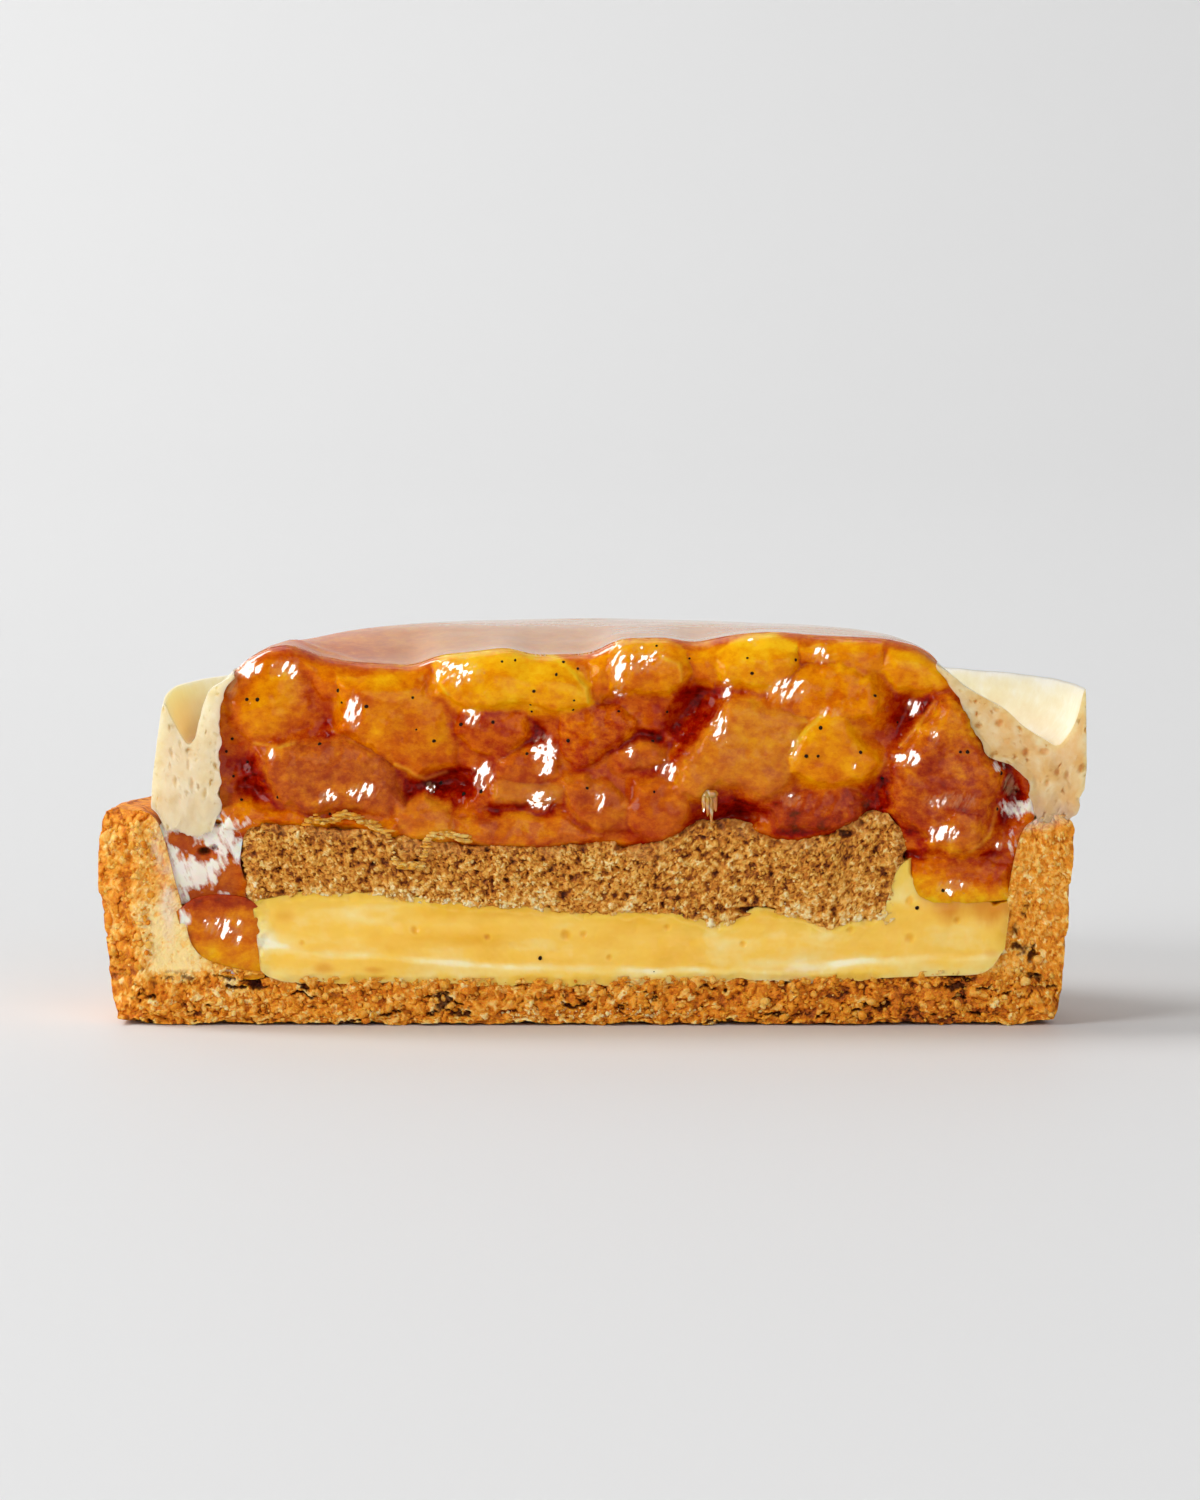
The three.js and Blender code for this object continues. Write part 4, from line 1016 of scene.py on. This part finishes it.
def outline_distance(flat, outline):
    """Distance to a closed outline, negative inside it."""
    corners = np.array(outline)
    inside = np.zeros(len(flat), dtype=bool)
    nearest = np.full(len(flat), np.inf)
    for a, b in zip(corners, np.roll(corners, -1, axis=0)):
        nearest = np.minimum(nearest, segment_distance(flat, a, b))
        crosses = (a[1] > flat[:, 1]) != (b[1] > flat[:, 1])
        inside ^= crosses & (flat[:, 0] < (b[0] - a[0]) * (flat[:, 1] - a[1]) / (b[1] - a[1] + 1e-12) + a[0])
    return np.where(inside, -nearest, nearest)


def heap_relief(flat):
    """The cut face of the filling: its relief, and the glow, paleness, fibres, film and crinkles at each point."""
    warp = 0.55 * wander(flat, 1.9, (3, 4), 4)
    hollow = spots(flat, HOLLOWS, 7, 0.95, 0.3)
    surface = JELLY_BACK + 0.7 * hollow + 0.3 * rough(flat, 3, 101)
    front = surface.copy()
    glow = JELLY_GLOW - 0.21 * hollow + 0.08 * rough(flat, 2, 102)
    pale = np.zeros(len(flat))
    fibre = np.full(len(flat), 0.25)
    to_dice = np.full(len(flat), FAR)
    for number, (outline, out, lean, soft, own_glow, own_pale, own_fibre) in enumerate(DICE):
        distance = outline_distance(flat + warp, outline)
        to_dice = np.minimum(to_dice, distance)
        inward = np.clip(-distance / soft, 0, 1)
        drop = SHOULDER * soft * (1 - np.sqrt(1 - (1 - inward) ** 2))
        middle = np.mean(outline, axis=0)
        turn = GRAIN_TURN * number
        along = flat @ np.array([[math.cos(turn), -math.sin(turn)], [math.sin(turn), math.cos(turn)]])
        streaks = own_fibre * rough(along * [0.3, 1], 0.8, 240)
        lumpy = 0.17 * rough(flat, 2.4, 200 + number) + 0.07 * streaks
        face = -0.75 * out + drop + 1.1 * np.maximum(distance, 0) + (flat - middle) @ np.array(lean) + lumpy
        share = np.clip(0.5 + 0.5 * (front - face) / COLOUR_BLEND, 0, 1)
        # Each dice is painted darker where its face dips back and lighter towards its top: painted shade and
        # painted light from above.
        edge_glow = own_glow + 0.02 - 0.12 * ease(-0.1, 0.8, distance) - 0.4 * lumpy + 0.12 * streaks
        edge_glow = edge_glow + 0.02 * (flat[:, 1] - middle[1])
        glow = glow + share * (edge_glow - glow)
        pale = pale + share * (own_pale * ease(0.6, -0.2, distance) - pale)
        fibre = fibre + share * (own_fibre - fibre)
        front = np.minimum(front, face)
        blend = np.clip(0.5 + 0.5 * (surface - face) / FILLET, 0, 1)
        surface = surface * (1 - blend) + face * blend - FILLET * blend * (1 - blend)
    glow = glow - 0.3 * np.clip(front - surface - 0.08, 0, 1) - 0.15 * hollow * ease(-0.1, 0.6, to_dice)
    glow = np.maximum(glow, DARKEST_GLOW) + 0.1 * rough(flat, 2.5, 308, 3)
    for line in FOLDS:
        ends = zip(line, line[1:])
        away = np.min([segment_distance(flat + 0.3 * warp, np.array(a), np.array(b)) for a, b in ends], axis=0)
        fold = np.exp(-((away / FOLD_WIDTH) ** 2))
        # Along each fold the skin is painted lighter and paler: a painted highlight on its ridge.
        surface, glow, pale = surface - FOLD_HEIGHT * fold, glow + 0.2 * fold, pale + 0.3 * fold
    crinkled = spots(flat, CRINKLES, 302, 0.6, 0.4)
    surface = surface + (0.05 + 0.09 * crinkled) * rough(flat, 0.85, 301, 2)
    surface = surface + 0.12 * rough(flat, 1.7, 307, 2)
    channel = ease(-28.5, -30.5, flat[:, 0]) * ease(21, 19, flat[:, 1])
    glow = glow + channel * (0.16 * rough(flat, 1.3, 310, 4) - 0.05)
    pale = np.clip(pale + 0.2 * channel, 0, 1)
    over_foot = flat[:, 1] - read_off(JELLY_FOOT, flat[:, 0])
    thin = ease(2, 0.2, over_foot + 0.5 * rough(flat, 1.2, 309, 3)) * ease(26.5, 28, flat[:, 0])
    thin = thin * ease(13.6, 12.4, flat[:, 1])
    surface, pale = surface * (1 - 0.7 * thin), pale * (1 - thin)
    glow = glow + thin * (0.6 + 0.18 * ease(2, 0.4, over_foot) - glow)
    film = spots(flat, FILM, 303, 0.8) - spots(flat, FILM_OPENINGS, 304, 0.6)
    wisps = rough(flat @ np.array([[1.3, 0.5], [-0.5, 0.8]]), 0.7, 305, 4, 0.7)
    film = np.clip(film + 0.5 * wisps * ease(0, 0.2, film), 0, 1)
    surface = surface - 0.15 * film
    return surface, glow, pale, fibre, film, crinkled


def make_filling():
    body = HalfTurn(FILLING, cut_spacing=0.125, body_spacing=0.5, turns=220)
    slope_reach = 3 + 6 * body.ups**3
    along = np.linspace(-33, 33, 400)
    glaze = list(zip(along, rounded(GLAZE_EDGE, along, 1)))
    moved, inside = fitted(body, SPONGE_TOP, [(x, z - TUCK) for x, z in glaze], (-28, 27.5), slope_reach, 0)
    x, y, z = moved.T
    flat = cut_plane(moved)
    surface, glow, pale, fibre, film, crinkled = heap_relief(flat)
    edge = read_off(glaze, x)
    below = np.maximum(edge - z, 0)
    lip = 1.3 * (1 - np.sqrt(1 - np.clip(1 - below / 1.6, 0, 1) ** 2)) * (np.abs(x) < 31.5)
    skin = ease(2.4, 0.6, below) * (np.abs(x) < 32)
    low = 0.9 * ease(0.35, -TUCK, np.where(z < 22, inside, 1)) * ease(29.5, 28, x)
    relief = surface * (1 - 0.75 * skin) + 0.1 * skin + lip + low
    top = ease(25, 30, z) * (body.ups > 0.98)
    waves = 0.1 * rough(moved * [0.5, 1, 0], 5, 61, 2) + 0.2 * smooth(moved * [1, 1, 0], 14, 62)
    crease = np.exp(-(((y + 0.9 * (x + 18) - 0.5) / 0.8) ** 2))
    waves = waves + 0.12 * crease * ease(-27, -24, x) * ease(-15, -18, x)
    moved[:, 2] += top * (1 - np.exp(-y / 2.5)) * waves
    moved[:, 2] = np.minimum(moved[:, 2], DOME_TOP)
    to_wall = ease(36.4, 37.4, x) * ease(16, 17.6, z) * ease(20.4, 18.6, z)
    to_wall = to_wall - ease(-33, -34.8, x) * ease(19.5, 18, z)
    moved[:, 0] += 0.35 * to_wall * np.exp(-y / 1.5)
    moved = pushed_back(moved, relief, 4)
    near, own = grains(moved * [1, 1, 0.5], 8, 63)
    dome_glow = 0.5 + 0.22 * (own - 0.4) * ease(0.75, 0.3, near) + 0.05 * rough(moved, 5, 64)
    glow = np.where(body.cuts, glow + 0.08 * skin, dome_glow)
    pale = np.where(body.cuts, pale * (1 - skin), 0.7 * ease(-28, -10, x))
    film = film * body.cuts
    fibre = np.where(body.cuts, fibre * (1 - skin), 0)
    crinkled = crinkled * body.cuts * (1 - film)
    gloss = np.where(body.cuts, skin * ease(0.8, 0, below), ease(0, 0.5, y) * (0.62 + 0.38 * ease(-26, -8, x)))
    gloss = CUT_GLOSS + (1 - CUT_GLOSS) * gloss
    attributes = {"glow": glow, "pale": pale, "film": film, "fibre": fibre, "gloss": gloss, "crinkle": crinkled}
    piece = make_object("glazed_filling", moved, body.triangles, filling_material(), attributes)
    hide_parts("apple_filling")


POCKET_MIDDLE = -31.2
POCKET = {  # from its own middle
    "right": [(0, 4.2, 0, 11.3), (2.8, 3.9, 2.6, 10.9), (4, 4.1, 4, 9.6)],
    "left": [(0, 4.2, 0, 11.3), (1.6, 4.8, 2, 10.9), (2.6, 6.4, 3.5, 9.8)],
}
POCKET_CRINKLES = [(-30.9, 8.5, 1.7, 1, 0.8), (-29.4, 7.2, 0.7, 0.6, 0.6)]
POCKET_FILM = [(-34, 8, 0.6, 2.4, 1), (-31.5, 4.5, 3, 0.4, 0.7)]


def make_pocket():
    body = HalfTurn(POCKET, cut_spacing=0.14, body_spacing=0.6, turns=24)
    points = body.points + [POCKET_MIDDLE, 0, 0]
    flat = cut_plane(points)
    crinkle = spots(flat, POCKET_CRINKLES, 312, 0.7)
    relief = 0.2 * rough(flat, 1.8, 313) + 0.1 * crinkle * rough(flat, 0.7, 311, 2) + 0.25
    relief = relief - 0.08 * (flat[:, 1] - 7)
    moved = pushed_back(points, relief, 2)
    count = len(points)
    attributes = {
        "glow": 0.54 + 0.2 * ease(8, 5.5, flat[:, 1]) - 0.3 * ease(9.6, 10.6, flat[:, 1]),
        "pale": np.full(count, 0.12), "fibre": np.full(count, 0.5),
        "gloss": np.full(count, CUT_GLOSS), "crinkle": crinkle,
        "film": 0.5 * spots(flat, POCKET_FILM, 314),
    }
    piece = make_object("pocket_apple", moved, body.triangles, filling_material(), attributes)
    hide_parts("apple_pocket")


# ---- Cream ----

# Larger pits in the cream on the cut: x, height, half width, half height, depth share.
CREAM_PITS = [
    (-33.3, 20.7, 0.25, 0.5, 1), (-34.7, 21, 0.18, 0.4, 0.8), (-32.2, 19.9, 0.2, 0.45, 0.8),
    (-33.6, 22.4, 0.15, 0.5, 0.6), (-34.3, 24.1, 0.15, 0.3, 0.6), (-35, 23.2, 0.15, 0.35, 0.6),
    (33.7, 25.7, 0.3, 0.2, 0.9), (35.4, 25.9, 0.35, 0.3, 0.8), (37.6, 23.4, 0.3, 0.35, 1),
    (39.2, 23.5, 0.4, 0.3, 0.8), (40.3, 21.7, 0.25, 0.3, 0.9), (41.1, 21.4, 0.25, 0.35, 0.8),
    (35.2, 27, 0.25, 0.2, 0.6), (39.4, 20.8, 0.2, 0.3, 0.6),
]
CHANNEL_BOUNCE_LIGHT = [(-34, 26.4, 2.4, 3, 1)]  # where the channel behind the left end is painted yellow: painted bounce light in the hollow
PIT_DEPTH = 0.35


def make_cream():
    body = HalfTurn(CREAM, cut_spacing=0.15, body_spacing=0.5, turns=200, ring=True)
    points = body.points
    x, y, z = points.T
    flat = cut_plane(points)
    warp = 0.4 * wander(flat, 0.7, (402, 403))
    near, own = grains((flat + warp) * [1.3, 0.8], 1.2, 401)
    shaded_pit = ease(0.12 + 0.22 * (own - 0.45), 0.02, near) * (own > 0.6)
    tiny, own_tiny = grains(flat + warp, 0.6, 404)
    shaded_pit = np.maximum(shaded_pit, 0.4 * ease(0.22, 0.05, tiny) * (own_tiny > 0.7))
    shaded_pit = np.maximum(shaded_pit, spots(flat, CREAM_PITS, 405, 0.7, 0.2))
    foot = ease(20.4, 18, z)
    relief = PIT_DEPTH * shaded_pit + 0.45 * rough(flat * [1, 0.5], 2.6, 411) + 0.1 * rough(flat, 0.7, 412, 4)
    relief = relief + 0.3 * foot
    ridge = 1 - np.exp(-y / 2.5)
    outer_tip = ease(0.5, 0.8, body.outs) * ease(0.6, 1, body.ups)
    moved = points.copy()
    inner = ease(0.5, 0, np.minimum(body.outs, 2 * body.ups)) * np.exp(-y / 1.5)
    moved[:, 0] += inner * 0.35 * rough(flat * [0, 1], 1.1, 419, 3) - 0.15 * np.sign(x) * inner
    relief = relief - 0.35 * inner
    sag = ease(0.45, 0.9, body.outs) * ease(0.5, 0, body.ups)
    leftward = ease(8, -8, x)
    moved[:, 2] -= (0.4 + 0.5 * leftward) * sag
    moved[:, 2] += leftward * ridge * outer_tip + 0.9 * foot * rough(flat * [1, 0.3], 1.1, 414, 4, 0.6)
    moved[:, 2] += 0.12 * rough(points, 4, 415) * (1 - foot)
    moved = pushed_back(moved, relief, 1.2)
    on_cut = np.exp(-y / 0.6)
    channel_bounce = spots(flat, CHANNEL_BOUNCE_LIGHT, 413, 0.9)
    # In the channel behind the left end the cream is painted yellow as bounce light; on the left cut it is mottled
    # yellow.
    butter_and_bounce_light = 0.95 * channel_bounce * (1 - on_cut) * ease(14, 2, y) + 0.2 * (x < 0) * on_cut * rough(flat, 1.2, 416)
    # The cut is painted darker in its pits, and the right end's cut face darker all over: painted shade.
    tone = 0.64 - 0.16 * shaded_pit * on_cut - 0.33 * (x > 0) * on_cut + 0.12 * (1 - on_cut)
    tone = tone + 0.2 * rough(flat, 0.9, 417)
    melt = foot * on_cut * np.where(x < 0, 0.15, 0.5) * (1 + 1.6 * rough(flat, 0.9, 418, 4))
    attributes = {"tone": tone, "butter_and_bounce_light": np.clip(butter_and_bounce_light, 0, 1), "melt": np.clip(melt, 0, 1)}
    piece = make_object("piped_cream", moved, body.triangles, cream_material(), attributes)
    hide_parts("cream_ring")


# ---- Small things ----

# Vanilla seeds on the cut: x, height.
SEEDS = [
    (-28.6, 27.9), (-27.7, 27.9), (-20.8, 28.7), (-20.5, 27.7), (-14.5, 28.1), (-18.4, 27.4), (-14.2, 25.4),
    (-12.7, 24.4), (-22.4, 24.1), (-29.9, 24.5), (-30.4, 23.4), (-28.6, 22.5), (-29.8, 21.3), (-26, 19.6),
    (-29.1, 19.3), (-12.2, 20.6), (-10.2, 19.7), (-8.7, 20), (-7.7, 26), (-10.4, 25.8), (-6.9, 31.2),
    (-5.8, 31.3), (-4.2, 28.7), (-4.5, 27.5), (-4.4, 26.9), (-0.9, 27.1), (-0.5, 30.5), (-1.3, 24.4),
    (-4.8, 23.3), (0.3, 20.4), (-1.7, 31.1), (-2.3, 30.1), (-0.8, 27.9), (7.1, 26.8), (5.9, 24.3), (6, 20.1),
    (6.2, 32.5), (9, 31.4), (14.3, 30.2), (13.9, 31.5), (18, 31.3), (20.1, 25.6), (19.9, 23.2), (18.9, 23.2),
    (23.5, 23.5), (24.7, 28.3), (26.7, 25.9), (25.4, 21.2), (32, 23.5), (32.6, 23.5), (34.5, 23), (35.5, 21.6),
    (36.9, 19.9), (35.2, 18.5), (3, 26.9), (-21.6, 18.1),
]
CUSTARD_SEEDS = [(-3.7, 5.8), (6, 4.6), (28.4, 10.1), (30.6, 11.6)]


def lumps(name, middles, sizes, material, seed, unevenness=0.6, detail=2, attributes=None):
    """One mesh of small uneven lumps with their half sizes. A lump's attributes are the same all over it."""
    bm = bmesh.new()
    bmesh.ops.create_icosphere(bm, subdivisions=detail, radius=1)
    ball = np.array([v.co for v in bm.verts])
    sides = np.array([[v.index for v in face.verts] for face in bm.faces])
    bm.free()
    count = len(middles)
    shift = 10 * np.arange(count)[:, None, None]
    shape = 1 + unevenness * rough(ball + shift, 1.1, seed)
    points = ball * shape[..., None] * np.reshape(sizes, (count, 1, 3)) + np.reshape(middles, (count, 1, 3))
    triangles = sides + len(ball) * np.arange(count)[:, None, None]
    spread = {key: np.repeat(values, len(ball)) for key, values in (attributes or {}).items()}
    return make_object(name, points.reshape(-1, 3), triangles.reshape(-1, 3), material, spread)


def scattered(draw, count, box):
    """Random places on the cut in a box of lowest and highest x and height."""
    return draw.uniform((box[0], box[2]), (box[1], box[3]), (count, 2))


def make_seeds():
    surface = heap_relief(np.array(SEEDS))[0]
    draw = np.random.default_rng(7)
    on_apple = [(x, y, z) for (x, z), y in zip(SEEDS, np.maximum(surface, FRONT_LIMIT))]
    on_custard = [(x, -0.05, z) for x, z in CUSTARD_SEEDS]
    middles = np.array(on_apple + on_custard)
    wide = draw.uniform(0.1, 0.19, len(middles))
    sizes = np.column_stack([wide, 0 * wide + 0.09, wide * draw.uniform(0.8, 1.2, len(middles))])
    piece = lumps("vanilla_seeds", middles, sizes, speck_material(), 8, 0.25)


FOOT_SPARKLE = (90, (-7, 10, 0.7, 1.5))  # pale crumbs along the foot: how many and where
# Where loose crumbs cling to the pastry's cut face: how many, and the lowest and highest x and height.
PASTRY_CRUMBS = [
    (420, (-38.5, 40, 0.4, 4)), (160, (-41.4, -36.5, 5, 17.4)), (30, (36.8, 41, 5, 17)),
    (40, (35, 40, 3.4, 5)),
]


def make_crumbs():
    draw = np.random.default_rng(21)
    places = np.concatenate([scattered(draw, count, box) for count, box in (*PASTRY_CRUMBS, FOOT_SPARKLE)])
    sparkle = np.arange(len(places)) >= len(places) - FOOT_SPARKLE[0]
    places[:, 0] = np.maximum(places[:, 0], 0.4 - read_off(LEFT_SIDE, places[:, 1]))
    size = (0.1 + 0.26 * draw.random(len(places)) ** 4) * np.where(sparkle, 0.55, 1)
    back = case_face(places)[0]
    middles = np.column_stack([places[:, 0], np.maximum(back, FRONT_LIMIT + 0.3) - 0.4 * size, places[:, 1]])
    middles[:, 2] = np.maximum(middles[:, 2], 1.3 * size)
    sizes = size[:, None] * draw.uniform(0.7, 1.4, (len(places), 3))
    toast_and_shade = draw.uniform(0.2, 0.6, len(places)) - 0.45 * sparkle
    none = np.zeros(len(places))
    attributes = {"toast_and_shade": toast_and_shade, "shaded_pit": none, "smear": none}
    piece = lumps("pastry_crumbs", middles, sizes, pastry_material(), 22, attributes=attributes)


SPONGE_CRUMBS = 400


def make_sponge_crumbs():
    draw = np.random.default_rng(31)
    x = draw.uniform(-28, 25.6, SPONGE_CRUMBS)
    foot, head = (read_off(edge, x) for edge in (SPONGE_FOOT, SPONGE_TOP))
    z = foot + 0.3 + (head - foot - 1) * draw.random(len(x)) ** 1.3
    size = 0.07 + 0.1 * draw.random(len(x)) ** 2
    back = sponge_face(np.column_stack([x, z]))[0]
    middles = np.column_stack([x, np.maximum(back, FRONT_LIMIT + 0.3) - 0.4 * size, z])
    sizes = size[:, None] * draw.uniform(0.7, 1.5, (len(x), 3))
    tone = 0.58 + draw.uniform(-0.25, 0.25, len(x)) + 0.2 * ease(2, 0.5, z - foot)
    attributes = {"tone": tone, "soaked": np.zeros(len(x))}
    piece = lumps("sponge_crumbs", middles, sizes, sponge_material(), 32, attributes=attributes)


# A stub of apple fibre that hangs under a dice: middles (x, y, height) and half sizes of its strands.
STUB = [
    ((10.2, -0.95, 19.4), (0.22, 0.2, 0.75)), ((10.55, -1, 19.1), (0.2, 0.2, 1.1)),
    ((10.85, -0.95, 18.8), (0.18, 0.2, 1.3)), ((11.15, -0.9, 19.2), (0.2, 0.2, 0.8)),
    ((10.6, -0.9, 19.9), (0.75, 0.3, 0.4)),
]


def make_stub():
    middles, sizes = (np.array(part) for part in zip(*STUB))
    every = np.ones(len(STUB))
    attributes = {
        "glow": 0.66 * every, "pale": 0.5 * every, "film": 0.12 * every, "fibre": every, "gloss": 0.5 * every,
        "crinkle": 0.2 * every,
    }
    piece = lumps("fibre_stub", middles, sizes, filling_material(), 52, 0.5, 3, attributes)


FLAKES = 320
# The line that the flakes hang from: x, height.
FLAKE_RIDGE = [
    (-23.9, 17.4), (-22.9, 18.1), (-21.6, 17.7), (-20.4, 18.4), (-19, 18), (-17.6, 17.4), (-16.6, 16.8),
    (-15.9, 14), (-13.8, 14), (-13.2, 16.5), (-11.6, 16.8), (-9.6, 16.2),
]


def make_flakes():
    """The browned top of the sponge where it curls up in front of the filling."""
    draw = np.random.default_rng(41)
    count = FLAKES
    x = draw.uniform(FLAKE_RIDGE[0][0] - 0.1, FLAKE_RIDGE[-1][0], count)
    z = read_off(FLAKE_RIDGE, x) - 0.55 * draw.random(count)
    y = -0.5 + 0.6 * draw.random(count)
    sizes = draw.uniform(0.1, 0.24, (count, 1)) * draw.uniform((1, 0.6, 0.4), (2.4, 1.4, 0.9), (count, 3))
    none = np.zeros(count)
    attributes = {"toast_and_shade": draw.uniform(0.16, 0.46, count), "shaded_pit": none, "smear": none}
    middles = np.column_stack([x, y, z])
    piece = lumps("browned_flakes", middles, sizes, pastry_material(), 42, attributes=attributes)


# ---- Stage ----
# Metres and watts in the model's frame.

ON_TART = (0, 0, 0.015)
# Soft lights: name, place, width and height, power, and what each one is aimed at.
LIGHTS = [
    ("key", (-0.75, -0.55, 0.42), (0.42, 0.55), 5.3, ON_TART),
    ("front_fill", (0.35, -0.95, 0.4), (0.8, 0.8), 3.6, ON_TART),
    ("over", (-0.3, 0.3, 1.1), (0.8, 0.8), 1.1, ON_TART),
    ("backdrop", (-1.3, 0.6, 1.5), (1.2, 1.2), 35, (-0.2, 1.8, 0.5)),
]
ROOM_LIGHT = 0.2
# The paper runs from the front along the floor, and bends up behind the tart.
SWEEP_FRONT, SWEEP_START, SWEEP_RADIUS, SWEEP_TOP, SWEEP_HALF_WIDTH = -1.6, 0.9, 0.9, 2.6, 3.0
SWEEP_STEPS = 24


def aim(thing, target):
    direction = Vector(target) - thing.location
    thing.rotation_euler = direction.to_track_quat("-Z", "Y").to_euler()


def in_frame(point):
    return Vector((np.array(point) + AXIS) * MM)


def add_light(name, place, size, energy, target):
    light = bpy.data.lights.new(name, "AREA")
    light.energy = energy
    light.shape = "RECTANGLE"
    light.size, light.size_y = size
    holder = bpy.data.objects.new(name, light)
    holder.location = place
    bpy.context.scene.collection.objects.link(holder)
    aim(holder, target)


def make_stage():
    made = Material("pale_paper", Roughness=0.6, Specular_IOR_Level=0.2)
    grain = made.noise(40, 2)
    made.drive("Base Color", made.mix(made.times(grain, 0.06), rgb("E3E3E3"), rgb("D8D8D8")))
    angles = np.linspace(0, math.pi / 2, SWEEP_STEPS)
    bend = [(SWEEP_START + SWEEP_RADIUS * math.sin(a), SWEEP_RADIUS - SWEEP_RADIUS * math.cos(a)) for a in angles]
    profile = [(SWEEP_FRONT, 0.0), *bend, (SWEEP_START + SWEEP_RADIUS, SWEEP_TOP)]
    points = [(side * SWEEP_HALF_WIDTH, y, z) for y, z in profile for side in (-1, 1)]
    faces = [(2 * i, 2 * i + 1, 2 * i + 3, 2 * i + 2) for i in range(len(profile) - 1)]
    mesh = bpy.data.meshes.new("paper_sweep")
    mesh.from_pydata(points, [], faces)
    mesh.shade_smooth()
    mesh.materials.append(made.data)
    sweep = bpy.data.objects.new("paper_sweep", mesh)
    bpy.context.scene.collection.objects.link(sweep)
    sweep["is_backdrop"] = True

    world = bpy.data.worlds.new("room")
    world.use_nodes = True
    background = world.node_tree.nodes["Background"]
    background.inputs["Color"].default_value = (1, 1, 1, 1)
    background.inputs["Strength"].default_value = ROOM_LIGHT
    bpy.context.scene.world = world
    for light in LIGHTS:
        add_light(*light)
    bpy.context.scene.view_settings.view_transform = "Standard"


def make_camera():
    camera = bpy.data.cameras.new("camera")
    holder = bpy.data.objects.new("camera", camera)
    tilt = math.radians(CAMERA_ELEVATION)
    away = CAMERA_DISTANCE * np.array([0, -math.cos(tilt), math.sin(tilt)])
    holder.location = in_frame(np.array(CAMERA_AIM) + away)
    bpy.context.scene.collection.objects.link(holder)
    aim(holder, in_frame(CAMERA_AIM))
    camera.sensor_fit = "VERTICAL"
    camera.sensor_height = SENSOR_HEIGHT
    camera.lens = SENSOR_HEIGHT * CAMERA_DISTANCE / PICTURE_HEIGHT
    camera.clip_start = 0.01
    bpy.context.scene.camera = holder


make_camera()
make_stage()
make_case()
make_custard()
make_sponge()
make_filling()
make_pocket()
make_cream()
make_seeds()
make_crumbs()
make_sponge_crumbs()
make_flakes()
make_stub()

boxes = {"cad": cad_box, "visual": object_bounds()}
{name: [[float(v) for v in corner] for corner in box] for name, box in boxes.items()}
